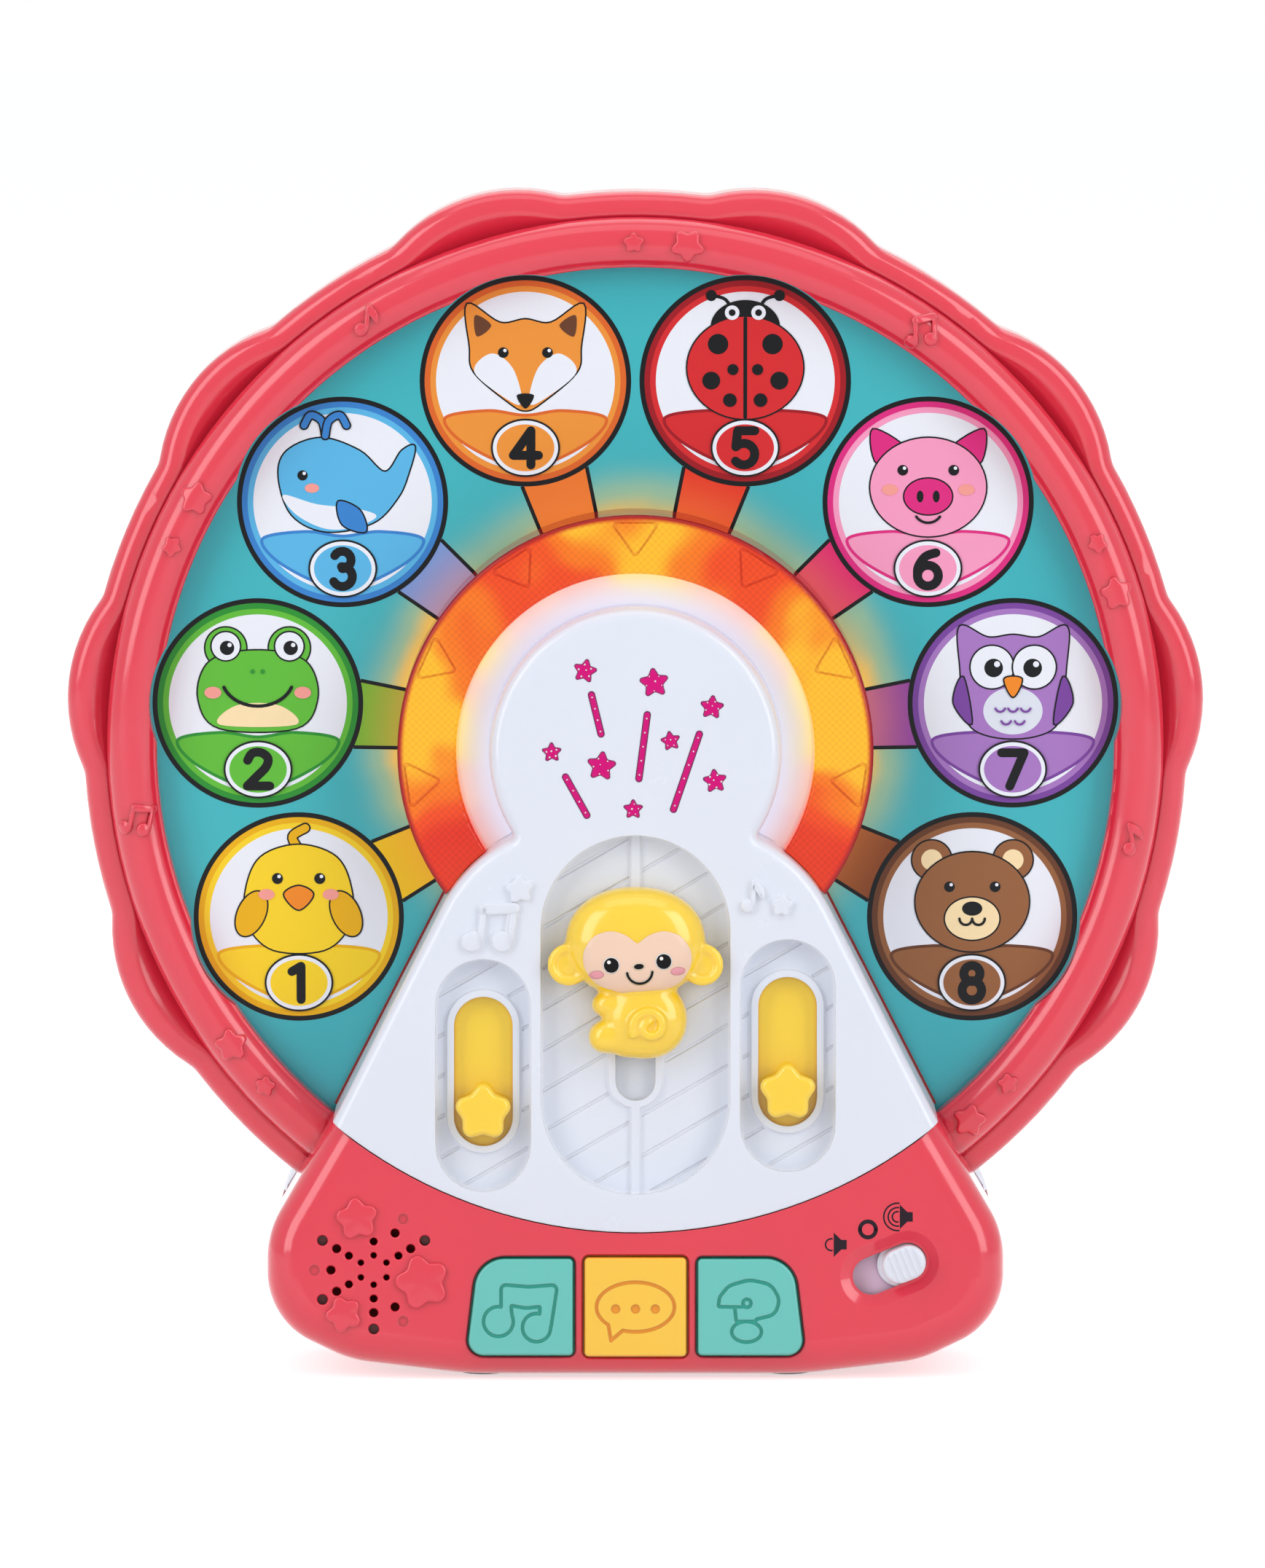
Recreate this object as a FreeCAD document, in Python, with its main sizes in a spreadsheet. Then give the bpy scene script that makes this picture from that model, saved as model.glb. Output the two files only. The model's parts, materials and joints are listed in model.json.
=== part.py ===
import FreeCAD, Part
import math
import os
import re
from Sketcher import Constraint

Vector = FreeCAD.Vector
Placement = FreeCAD.Placement
Rotation = FreeCAD.Rotation

# Upright musical wheel toy. Two working frames are used, both with x to the right and y up:
#   wheel frame: origin on the wheel's axis in the mid-plane of the rim, z towards the child
#   face frame:  origin on the front of the dome, leaned back, z out of the tower's face
# The finished pieces stand in the part's own frame: +Z up, front towards -Y, origin on the rest face.

doc = FreeCAD.newDocument("wheel_toy")
sheet = doc.addObject("Spreadsheet::Sheet", "Sizes")

driving_sizes = [
    # the turning rim
    ("hidden_lobes", 2), ("lobe_radius", 43.5), ("lobe_rise", 4.9), ("lobe_blend", 9.0), ("rim_play", 0.8),
    ("rim_reach", 12.0), ("rim_half_width", 11.0), ("rim_wall", 2.4), ("rim_end_gap", 0.6),
    ("tube_width", 10.5), ("tube_edge", 4.5), ("tube_inner_edge", 3.0), ("slope_top_inset", 6.0),
    ("slope_foot_inset", 12.6),
    ("web_half_width", 8.0), ("passage_gap", 2.1),
    # wheel housing: back cover with its drum, picture panel, bezel ring
    ("drum_radius", 133.2), ("drum_wall", 2.6), ("cover_wall", 2.4), ("back_depth", 26.0),
    ("back_slope_run", 14.2), ("flange_lip", 3.0), ("panel_front", 9.0), ("panel_thickness", 2.5),
    ("panel_rim_gap", 3.3), ("panel_opening_radius", 58.0), ("panel_seat", 2.2), ("bezel_overlap", 6.3),
    ("bezel_width", 13.1), ("bezel_crest", 18.0), ("bezel_crest_inset", 6.0), ("bezel_inner_height", 15.2),
    ("bezel_edge_height", 12.6), ("bezel_lip", 0.7), ("badge_radius", 27.85), ("badge_clearance", 0.55),
    ("badge_inset", 26.0), ("badge_count", 8), ("badge_first_angle", -27.3), ("badge_step", 33.51),
    ("relief_height", 0.8), ("relief_inset", 6.5), ("large_star", 4.6), ("small_star", 2.7),
    # lit ring, halo and dome
    ("light_outer_radius", 62.5), ("light_inner_radius", 47.0), ("light_front", 30.0), ("light_wall", 2.0),
    ("light_lift", 0.2), ("triangle_step", 32.73), ("halo_inner_gap", 0.15), ("halo_outer_gap", 0.4), ("halo_front", 23.0),
    ("halo_wall", 1.8), ("triangle_count", 7), ("groove_depth", 0.4),
    ("dome_radius", 38.3), ("face_height", 36.0), ("face_lean", 5.0), ("tower_wall", 2.2),
    ("tower_edge", 3.5), ("tower_back", 10.6), ("tower_gap", 0.3), ("tower_end_gap", 1.8),
    ("flange_overhang", 0.6),
    ("neck_blend", 1.5), ("shoulder_radius", 40.0), ("shoulder_half_width", 50.9), ("shoulder_drop", 40.2),
    ("foot_half_width", 77.8), ("tower_foot_rise", 31.6),
    # tracks in the tower
    ("track_depth", 5.0), ("track_top_drop", 21.1), ("track_end_gap", 9.3), ("centre_track_half_width", 24.8),
    ("side_track_half_width", 12.5), ("side_track_half_length", 30.5), ("side_track_spread", 39.9),
    ("left_track_rise", 40.6), ("right_track_rise", 45.8), ("side_slot_half_width", 7.7),
    ("side_slot_rise", 0.9), ("slot_gap", 0.5), ("border_width", 1.9), ("border_height", 0.9),
    ("spine_half_width", 1.2), ("hatch_pitch", 10.7), ("hatch_slope", 30.0), ("hatch_width", 0.8),
    ("hatch_depth", 0.5),
    # sliders
    ("slider_gap", 0.3), ("keeper_thickness", 1.5), ("keeper_half_width", 9.0), ("wiper_room", 2.6),
    ("monkey_travel", 28.0), ("monkey_front", 8.5), ("monkey_drop", 57.6), ("monkey_stem_radius", 4.7),
    ("star_travel", 21.0), ("star_radius", 8.0), ("star_front", 2.6), ("star_neck_radius", 5.0),
    ("star_end_gap", 1.1), ("shutter_overlap", 1.2),
    # base
    ("base_half_width", 96.8), ("hip_drop", 1.4), ("shoulder_slope", 0.585), ("base_keel", 10.0),
    ("rest_gap", 1.0), ("base_front_wall", 2.4), ("base_edge", 9.0), ("base_top_half_width", 78.4),
    ("base_top_rise", 30.0), ("base_back", 53.0), ("parting", 2.0), ("rear_overhang", -0.6),
    ("rear_top_rise", 40.6), ("rear_top_half_width", 70.0), ("rear_edge", 8.0), ("foot_pad_radius", 7.0),
    ("foot_pad_spread", 40.0), ("foot_pad_front", 30.0), ("foot_pad_rear", 40.0), ("corner_boss_radius", 3.3),
    ("corner_boss_inset", 36.8), ("corner_boss_rise", 7.0),
    # buttons
    ("button_spread", 30.3), ("button_sill", 7.3), ("button_half_height", 12.7), ("button_proud", 1.2),
    ("button_travel", 2.5), ("button_gap", 0.45), ("button_wall", 1.6), ("button_flange", 1.25),
    ("button_depth", 4.4), ("dome_height", 3.2), ("board_thickness", 1.6), ("board_gap", 0.3),
    ("board_half_width", 50.0), ("board_half_height", 14.0),
    # speaker and volume switch
    ("speaker_spread", 68.6), ("speaker_rise", 9.6), ("speaker_radius", 17.2), ("speaker_depth", 12.0),
    ("switch_spread", 66.6), ("switch_rise", 9.9), ("switch_angle", 22.0), ("switch_travel", 8.0),
    ("knob_half_length", 5.8), ("knob_half_width", 4.5), ("knob_proud", 5.0),
    # power
    ("cell_radius", 7.25), ("cell_length", 50.5), ("cell_pitch", 15.6), ("cell_rise", 24.6),
    ("door_half_width", 33.0), ("door_half_height", 29.0), ("door_thickness", 2.4),
    # guide rollers, screws
    ("roller_radius", 6.0), ("roller_half_width", 3.5), ("roller_gap", 0.3), ("roller_pin_radius", 1.5),
    ("roller_angle", 45.0), ("screw_radius", 1.5), ("screw_head_radius", 2.8), ("screw_head_height", 2.0),
    ("boss_radius", 4.0),
]
# radii about the wheel's axis and drops below it that follow from the driving sizes
derived_sizes = [
    ("rim_bore_radius", "drum_radius + rim_play"),
    ("valley_radius", "rim_bore_radius + rim_reach"),
    ("lobe_centre_radius", "valley_radius + lobe_rise - lobe_radius"),
    ("rim_passage_radius", "valley_radius + lobe_rise + passage_gap"),
    ("base_bottom", "rim_passage_radius + base_keel"),
    ("wheel_centre_height", "base_bottom + rest_gap"),
    ("back_flat_radius", "drum_radius - back_slope_run"),
    ("panel_radius", "drum_radius - panel_rim_gap"),
    ("bezel_outer_radius", "drum_radius + bezel_overlap"),
    ("bezel_inner_radius", "bezel_outer_radius - bezel_width"),
    ("bezel_crest_radius", "bezel_outer_radius - bezel_crest_inset"),
    ("relief_circle_radius", "bezel_outer_radius - relief_inset"),
    ("badge_circle_radius", "bezel_inner_radius - badge_inset"),
    ("tower_bottom_radius", "bezel_inner_radius - tower_end_gap"),
    ("foot_drop", "tower_bottom_radius - tower_foot_rise"),
    ("centre_track_drop", "(tower_bottom_radius - track_end_gap + track_top_drop) / 2"),
    ("centre_track_half_length", "(tower_bottom_radius - track_end_gap - track_top_drop) / 2"),
    ("left_track_drop", "tower_bottom_radius - left_track_rise"),
    ("right_track_drop", "tower_bottom_radius - right_track_rise"),
    ("base_hip_drop", "tower_bottom_radius + hip_drop"),
    ("base_top_drop", "tower_bottom_radius - base_top_rise"),
    ("rear_top_drop", "tower_bottom_radius - rear_top_rise"),
    ("button_drop", "tower_bottom_radius + button_sill + button_half_height"),
    ("speaker_drop", "button_drop - speaker_rise"),
    ("switch_drop", "button_drop - switch_rise"),
    ("cell_drop", "button_drop - cell_rise"),
]
for row, (alias, value) in enumerate(driving_sizes + derived_sizes, start=1):
    sheet.set(f"A{row}", alias.replace("_", " "))
    sheet.set(f"B{row}", f"={value}" if isinstance(value, str) else str(value))
    sheet.setAlias(f"B{row}", alias)
doc.recompute()
aliases = {alias for alias, value in driving_sizes + derived_sizes}


class SheetReader:
    """reads a driving size from the spreadsheet by its alias"""

    def __getattr__(self, alias):
        return float(sheet.get(alias))


s = SheetReader()
wheel_frame = Placement(Vector(0, 0, s.wheel_centre_height), Rotation(Vector(1, 0, 0), 90))
face_spot = Vector(0, -s.face_height, s.wheel_centre_height)
face_frame = Placement(face_spot, Rotation(Vector(1, 0, 0), 90 - s.face_lean))
lean = wheel_frame.inverse().multiply(face_frame)
nodes = []

# ---------------------------------------------------------------- shapes


def polar(radius, degrees):
    turn = math.radians(degrees)
    return Vector(radius * math.cos(turn), radius * math.sin(turn), 0)


def disc(radius, low, high, x=0.0, y=0.0):
    return Part.makeCylinder(radius, high - low, Vector(x, y, low))


def tube(outer, inner, low, high, x=0.0, y=0.0):
    return disc(outer, low, high, x, y).cut(disc(inner, low - 1, high + 1, x, y))


def block(left, right, bottom, top, low, high):
    return Part.makeBox(right - left, top - bottom, high - low, Vector(left, bottom, low))


def plate(outline, low, high):
    face = Part.Face(outline)
    face.translate(Vector(0, 0, low))
    return face.extrude(Vector(0, 0, high - low))


def fused(shapes):
    whole = shapes[0]
    return whole.multiFuse(shapes[1:]) if len(shapes) > 1 else whole


def leaned(shape):
    """a shape drawn in the face frame, seen from the wheel frame"""
    return shape.transformed(lean.toMatrix())


def below_face(offset=0.0):
    """all the room behind the tower's face, in the wheel frame"""
    return leaned(block(-200, 200, -220, 220, -200, offset))


def rounded_outline(corners):
    """closed wire through (x, y, radius) corners, each rounded by its radius"""
    stops = []
    for index, (x, y, radius) in enumerate(corners):
        here = Vector(x, y, 0)
        before = Vector(*corners[index - 1][:2], 0) - here
        after = Vector(*corners[(index + 1) % len(corners)][:2], 0) - here
        before.normalize()
        after.normalize()
        half_angle = before.getAngle(after) / 2
        bisector = before + after
        bisector.normalize()
        reach = radius / math.tan(half_angle)
        middle = here + bisector * (radius / math.sin(half_angle) - radius)
        stops.append((here + before * reach, middle, here + after * reach, radius))
    edges = []
    for index, (start, middle, end, radius) in enumerate(stops):
        if radius > 0:
            edges.append(Part.Arc(start, middle, end).toShape())
        following = stops[(index + 1) % len(stops)][0]
        if end.distanceToPoint(following) > 1e-6:
            edges.append(Part.LineSegment(end, following).toShape())
    return Part.Wire(edges)


def stadium(half_width, half_length, x=0.0, y=0.0):
    corners = [(1, 1), (1, -1), (-1, -1), (-1, 1)]
    return rounded_outline([(x + a * half_width, y + b * half_length, half_width) for a, b in corners])


def star_outline(tip_radius, x=0.0, y=0.0, turn=90.0, waist=0.56, tip_round=0.17, waist_round=0.12):
    """five-pointed star with soft tips"""
    corners = []
    for point in range(5):
        heading = turn + 72 * point
        tip = polar(tip_radius * 1.12, heading)
        dip = polar(tip_radius * waist, heading + 36)
        corners.append((x + tip.x, y + tip.y, tip_radius * tip_round))
        corners.append((x + dip.x, y + dip.y, tip_radius * waist_round))
    return rounded_outline(corners)


def note_solid(scale, low, high, x, y, turn, double):
    """a music note: one head with a flag, or two heads under a beam"""
    heads = [(-3.0, -3.4), (2.9, -2.6)] if double else [(-1.3, -3.1)]
    stem_top = 3.6
    if double:
        beam = [(-2.1, 2.2, 0.2), (4.9, 3.2, 0.2), (4.9, 5.2, 0.6), (-2.1, 4.2, 0.6)]
    else:
        beam = [(-0.4, 2.0, 0.1), (0.8, 1.6, 0.3), (3.4, -0.6, 0.3), (2.6, 3.0, 0.6), (-0.4, 4.8, 0.3)]
    parts = [disc(2.0 * scale, low, high, hx * scale, hy * scale) for hx, hy in heads]
    for hx, hy in heads:
        parts.append(block((hx + 0.9) * scale, (hx + 2.0) * scale, hy * scale, stem_top * scale, low, high))
    parts.append(plate(rounded_outline([(a * scale, b * scale, c * scale) for a, b, c in beam]), low, high))
    note = fused(parts).removeSplitter()
    note.rotate(Vector(0, 0, 0), Vector(0, 0, 1), turn)
    note.translate(Vector(x, y, 0))
    return note


def edges_where(shape, test):
    """edges whose every sampled point passes the test"""
    chosen = []
    for edge in shape.Edges:
        samples = edge.discretize(5)
        if all(test(point) for point in samples):
            chosen.append(edge)
    return chosen


def rounded_front(shape, offset, radius):
    """rounds the loop of edges that lies on the tower's face plane"""
    back = lean.inverse()
    rim = edges_where(shape, lambda point: abs(back.multVec(point).z - offset) < 1e-4)
    return shape.makeFillet(radius, rim)


# ---------------------------------------------------------------- document objects


def bound(expression):
    """an expression in plain alias words, tied to the spreadsheet"""
    def tied(word):
        return "Sizes." + word[0] if word[0] in aliases else word[0]
    return re.sub(r"[a-z][a-z0-9_]*", tied, expression)


def place(thing, frame, x="0", y="0", z="0"):
    """stands an object of the wheel or face frame in the part's frame"""
    if frame == "wheel":
        across, depth, rise, tilt = x, f"-({z})", f"wheel_centre_height + {y}", "90"
    else:
        across = x
        depth = f"-face_height + ({y}) * sin(face_lean) - ({z}) * cos(face_lean)"
        rise = f"wheel_centre_height + ({y}) * cos(face_lean) + ({z}) * sin(face_lean)"
        tilt = "90 - face_lean"
    thing.Placement = Placement(Vector(0, 0, 0), Rotation(Vector(1, 0, 0), 90))
    thing.setExpression(".Placement.Base.x", bound(across))
    thing.setExpression(".Placement.Base.y", bound(depth))
    thing.setExpression(".Placement.Base.z", bound(rise))
    thing.setExpression(".Placement.Rotation.Angle", bound(tilt))


def polygon_sketch(body, role, corners, low="0"):
    """closed polygon on an origin plane, every corner held by two sheet expressions"""
    sketch = body.newObject("Sketcher::SketchObject", body.Name + "_outline")
    sketch.AttachmentSupport = [(next(f for f in body.Origin.OriginFeatures if f.Role == role), "")]
    sketch.MapMode = "FlatFace"
    sketch.setExpression(".AttachmentOffset.Base.z", bound(low))
    count = len(corners)
    starts = [polar(20, 360 * index / count) for index in range(count)]
    for index in range(count):
        sketch.addGeometry(Part.LineSegment(starts[index], starts[(index + 1) % count]))
    for index in range(count):
        sketch.addConstraint(Constraint("Coincident", index, 2, (index + 1) % count, 1))
    for index, (across, up) in enumerate(corners):
        for kind, expression in (("DistanceX", across), ("DistanceY", up)):
            number = sketch.addConstraint(Constraint(kind, -1, 1, index, 1, 10.0))
            sketch.setExpression(f"Constraints[{number}]", bound(expression))
    return sketch


def turned(label, corners, frame, x="0", y="0", z="0", keep=True):
    """a body revolved from (radius, height) corners about its own axis"""
    body = doc.addObject("PartDesign::Body", label)
    sketch = polygon_sketch(body, "XZ_Plane", corners)
    turn = body.newObject("PartDesign::Revolution", label + "_turn")
    turn.Profile = sketch
    turn.ReferenceAxis = (sketch, ["V_Axis"])
    turn.Angle = 360
    place(body, frame, x, y, z)
    if keep:
        nodes.append(body)
    return body


def padded(label, corners, low, high, frame, x="0", y="0", keep=True, corner_radius=None):
    """a body padded from (x, y) corners between two heights"""
    body = doc.addObject("PartDesign::Body", label)
    sketch = polygon_sketch(body, "XY_Plane", corners, low)
    pad = body.newObject("PartDesign::Pad", label + "_pad")
    pad.Profile = sketch
    pad.setExpression("Length", bound(f"({high}) - ({low})"))
    if corner_radius:
        doc.recompute()
        upright = [f"Edge{n}" for n, edge in enumerate(pad.Shape.Edges, start=1)
                   if abs(edge.tangentAt(edge.FirstParameter).z) > 0.99]
        fillet = body.newObject("PartDesign::Fillet", label + "_corners")
        fillet.Base = (pad, upright)
        fillet.setExpression("Radius", bound(corner_radius))
    place(body, frame, x, y)
    if keep:
        nodes.append(body)
    return body


def rectangle(half_width, half_height, x="0", y="0"):
    return [(f"{x} + {a} * ({half_width})", f"{y} + {b} * ({half_height})") for a, b in
            ((1, 1), (-1, 1), (-1, -1), (1, -1))]


def cylinder(label, radius, low, high, frame, x="0", y="0"):
    rod = doc.addObject("Part::Cylinder", label)
    rod.setExpression("Radius", bound(radius))
    rod.setExpression("Height", bound(f"({high}) - ({low})"))
    place(rod, frame, x, y, low)
    return rod


def group(label, members):
    """like solids that share one node"""
    bundle = doc.addObject("Part::Compound", label)
    bundle.Links = members
    nodes.append(bundle)
    return bundle


def drilled(label, base, tools):
    """a body with holes cut through it"""
    cut = doc.addObject("Part::Cut", label)
    cut.Base = base
    if len(tools) == 1:
        cut.Tool = tools[0]
    else:
        joined = doc.addObject("Part::MultiFuse", label + "_holes")
        joined.Shapes = tools
        cut.Tool = joined
    nodes.append(cut)
    return cut


def free_form(label, shape, frame):
    """a shell whose form no sketch or primitive gives"""
    feature = doc.addObject("Part::Feature", label)
    feature.Shape = shape
    stand = wheel_frame if frame == "wheel" else face_frame
    feature.Placement = stand.multiply(shape.Placement)
    nodes.append(feature)
    return feature


# ---------------------------------------------------------------- the turning rim


def lobe_headings():
    """one lobe beside each badge, and the rest spread over the arc behind the base"""
    headings = [s.badge_first_angle + number * s.badge_step for number in range(int(s.badge_count))]
    rest = (360 - headings[-1] + headings[0]) / (s.hidden_lobes + 1)
    return headings + [headings[-1] + rest * (number + 1) for number in range(int(s.hidden_lobes))]


def lobed_outline(inset=0.0):
    """valley circle with lobes, joined by blend arcs; an inset outline keeps the same centres"""
    reach = s.valley_radius + s.lobe_blend
    span = s.lobe_radius + s.lobe_blend
    cosine = (reach ** 2 + s.lobe_centre_radius ** 2 - span ** 2) / (2 * reach * s.lobe_centre_radius)
    turn = math.degrees(math.acos(cosine))
    valley = s.valley_radius - inset
    lobe = s.lobe_radius - inset
    blend = s.lobe_blend + inset
    edges = []
    headings = lobe_headings()
    for heading, following in zip(headings, headings[1:] + [headings[0] + 360]):
        lobe_centre = polar(s.lobe_centre_radius, heading)
        ends = []
        for side in (-1, 1):
            blend_centre = polar(reach, heading + side * turn)
            inward = (lobe_centre - blend_centre).normalize()
            homeward = (Vector(0, 0, 0) - blend_centre).normalize()
            halfway = (inward + homeward).normalize()
            ends.append((polar(valley, heading + side * turn), blend_centre + halfway * blend,
                         blend_centre + inward * blend))
        (first, first_mid, first_lobe), (last, last_mid, last_lobe) = ends
        edges.append(Part.Arc(first, first_mid, first_lobe).toShape())
        edges.append(Part.Arc(first_lobe, polar(s.lobe_centre_radius + lobe, heading), last_lobe).toShape())
        edges.append(Part.Arc(last_lobe, last_mid, last).toShape())
        half_way = polar(valley, (heading + following) / 2)
        edges.append(Part.Arc(last, half_way, polar(valley, following - turn)).toShape())
    return Part.Wire(edges)


def lobe_spots():
    spot_radius = s.lobe_centre_radius + s.lobe_radius - s.tube_width / 2
    return [polar(spot_radius, heading) for heading in lobe_headings()]


def slope_room():
    """what is taken off inside the tube's crest, down a slope to the web, drawn on past the crest"""
    rise = s.rim_half_width - s.web_half_width
    run_past = (s.slope_foot_inset - s.slope_top_inset) / rise
    foot, past = lobed_outline(s.slope_foot_inset), lobed_outline(s.slope_top_inset - run_past)
    foot.translate(Vector(0, 0, s.web_half_width))
    past.translate(Vector(0, 0, s.rim_half_width + 1))
    return Part.makeLoft([foot, past], True, True)


def rim_half():
    """front half: a hollow tube that follows the waves, on a web that slopes in to the bore"""
    half = plate(lobed_outline(), 0, s.rim_half_width)
    crown = edges_where(half, lambda point: abs(point.z - s.rim_half_width) < 1e-6)
    half = half.makeFillet(s.tube_edge, crown)
    half = half.cut(slope_room())
    crest = s.lobe_centre_radius + s.lobe_radius - (s.tube_edge + s.slope_top_inset) / 2
    inner = edges_where(half, lambda point: abs(point.z - s.rim_half_width) < 1e-6 and
                        math.hypot(point.x, point.y) < crest)
    half = half.makeFillet(s.tube_inner_edge, inner)
    half = half.cut(disc(s.rim_bore_radius, -1, s.rim_half_width + 1))
    hollow_top = s.rim_half_width - s.rim_wall
    hollow = plate(lobed_outline(s.rim_wall), 0, hollow_top)
    hollow = hollow.cut(plate(lobed_outline(s.tube_width - s.rim_wall), -1, hollow_top + 1))
    bosses = [disc(s.screw_radius * 2, 0, hollow_top, spot.x, spot.y) for spot in lobe_spots()]
    hollow = hollow.cut(fused(bosses))
    return half.cut(hollow)


def make_rim():
    half = rim_half()
    pilots = [disc(s.screw_radius - 0.2, 0, s.rim_half_width * 0.65, p.x, p.y) for p in lobe_spots()]
    free_form("rim_front", half.cut(fused(pilots)), "wheel")
    back = half.mirror(Vector(0, 0, 0), Vector(0, 0, 1))
    seat = -s.rim_half_width + s.rim_wall + 1
    holes = []
    for spot in lobe_spots():
        holes.append(disc(s.screw_radius + 0.1, seat - 0.1, 1, spot.x, spot.y))
        holes.append(disc(s.screw_head_radius - 0.2, -s.rim_half_width - 1, seat, spot.x, spot.y))
    free_form("rim_back", back.cut(fused(holes)), "wheel")
    screws = []
    for spot in lobe_spots():
        head = disc(s.screw_head_radius - 0.4, seat - s.screw_head_height, seat, spot.x, spot.y)
        screws.append(head.fuse(disc(s.screw_radius - 0.3, seat, s.rim_half_width * 0.6, spot.x, spot.y)))
    free_form("rim_screws", Part.makeCompound(screws), "wheel")


# ---------------------------------------------------------------- the fixed wheel housing

roller_angles = [s.roller_angle + 90 * corner for corner in range(4)]
roller_track = s.rim_bore_radius - s.roller_gap - s.roller_radius
post_spots = [(-56.0, -77.0), (56.0, -77.0), (-30.0, -26.0), (30.0, -26.0)]


def make_back_cover():
    flange_back = -s.rim_half_width - s.rim_end_gap
    inner = s.drum_radius - s.drum_wall
    seat = s.panel_front - s.panel_thickness
    ledge = seat - s.panel_seat
    rise = s.back_depth - s.cover_wall
    ledge_inner = s.panel_radius - 2.1
    corners = [(0, -s.back_depth), (s.back_flat_radius, -s.back_depth),
               (s.bezel_outer_radius, flange_back - s.flange_lip), (s.bezel_outer_radius, flange_back),
               (s.drum_radius, flange_back), (s.drum_radius, s.panel_front),
               (s.panel_radius + 0.3, s.panel_front), (s.panel_radius + 0.3, seat), (ledge_inner, seat),
               (ledge_inner, ledge), (inner, ledge), (inner, flange_back - 2),
               (s.back_flat_radius - 1, -rise), (0, -rise)]
    profile = Part.makePolygon([Vector(r, 0, z) for r, z in corners + corners[:1]])
    shell = Part.Face(profile).revolve(Vector(0, 0, 0), Vector(0, 0, 1), 360)
    boss_top = -s.roller_half_width - s.roller_gap
    windows, bosses, pins = [], [], []
    for number, angle in enumerate(roller_angles):
        spot = polar(roller_track, angle)
        top = boss_top - 2.4 if number == 0 else boss_top
        window = block(roller_track - s.roller_radius - 1, s.drum_radius + 1, -s.roller_radius - 1,
                       s.roller_radius + 1, top, s.roller_half_width + s.roller_gap)
        window.rotate(Vector(0, 0, 0), Vector(0, 0, 1), angle)
        windows.append(window)
        bosses.append(disc(s.roller_pin_radius * 2, -19, top, spot.x, spot.y))
        pins.append(disc(s.roller_pin_radius, -16, ledge, spot.x, spot.y))
    posts = [disc(s.boss_radius, -rise - 0.5, seat, x, y) for x, y in post_spots]
    posts += [disc(s.boss_radius, -rise - 0.5, board_low(), p.x, p.y) for p in board_spots()]
    ribs = [tube(radius + 0.8, radius - 0.8, -rise - 0.5, -rise + 5) for radius in (40.0, 80.0)]
    sensor = sensor_spot()
    stalk = block(-3, 3, -3, 3, -rise - 0.5, -9.5)
    stalk.rotate(Vector(0, 0, 0), Vector(0, 0, 1), s.roller_angle)
    stalk.translate(sensor)
    shell = shell.cut(fused(windows)).multiFuse(bosses + posts + ribs + [stalk]).cut(fused(pins))
    holes = []
    for x, y in post_spots:
        holes.append(disc(s.screw_radius + 0.2, -s.back_depth - 1, seat + 1, x, y))
        holes.append(disc(s.screw_head_radius + 0.3, -s.back_depth - 1, -2, x, y))
    free_form("wheel_back_cover", shell.cut(fused(holes)).removeSplitter(), "wheel")
    free_form("roller_pins", Part.makeCompound(pins), "wheel")
    screws = []
    for x, y in post_spots:
        head = disc(s.screw_head_radius, -2 - s.screw_head_height, -2, x, y)
        screws.append(head.fuse(disc(s.screw_radius - 0.1, -2, 18, x, y)))
    free_form("wheel_screws", Part.makeCompound(screws), "wheel")


def bezel_profile(extra=0.0):
    """section of the bezel; extra lifts its crown for the raised figures"""
    inner, outer, seat = s.bezel_inner_radius, s.bezel_outer_radius, s.drum_radius + 0.4
    step = s.rim_half_width + s.rim_end_gap
    lip = s.bezel_lip
    shoulder = s.bezel_inner_height - lip + extra
    inner_top = Vector(inner + lip, 0, s.bezel_inner_height + extra)
    lip_middle = Vector(inner + lip * (1 - math.sqrt(0.5)), 0, shoulder + lip * math.sqrt(0.5))
    edges = [
        Part.LineSegment(Vector(inner, 0, s.panel_front), Vector(inner, 0, shoulder)),
        Part.Arc(Vector(inner, 0, shoulder), lip_middle, inner_top),
        Part.Arc(inner_top, Vector(s.bezel_crest_radius, 0, s.bezel_crest + extra),
                 Vector(outer, 0, s.bezel_edge_height + extra)),
        Part.LineSegment(Vector(outer, 0, s.bezel_edge_height + extra), Vector(outer, 0, step)),
        Part.LineSegment(Vector(outer, 0, step), Vector(seat, 0, step)),
        Part.LineSegment(Vector(seat, 0, step), Vector(seat, 0, s.panel_front)),
        Part.LineSegment(Vector(seat, 0, s.panel_front), Vector(inner, 0, s.panel_front)),
    ]
    return Part.Face(Part.Wire([edge.toShape() for edge in edges]))


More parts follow.
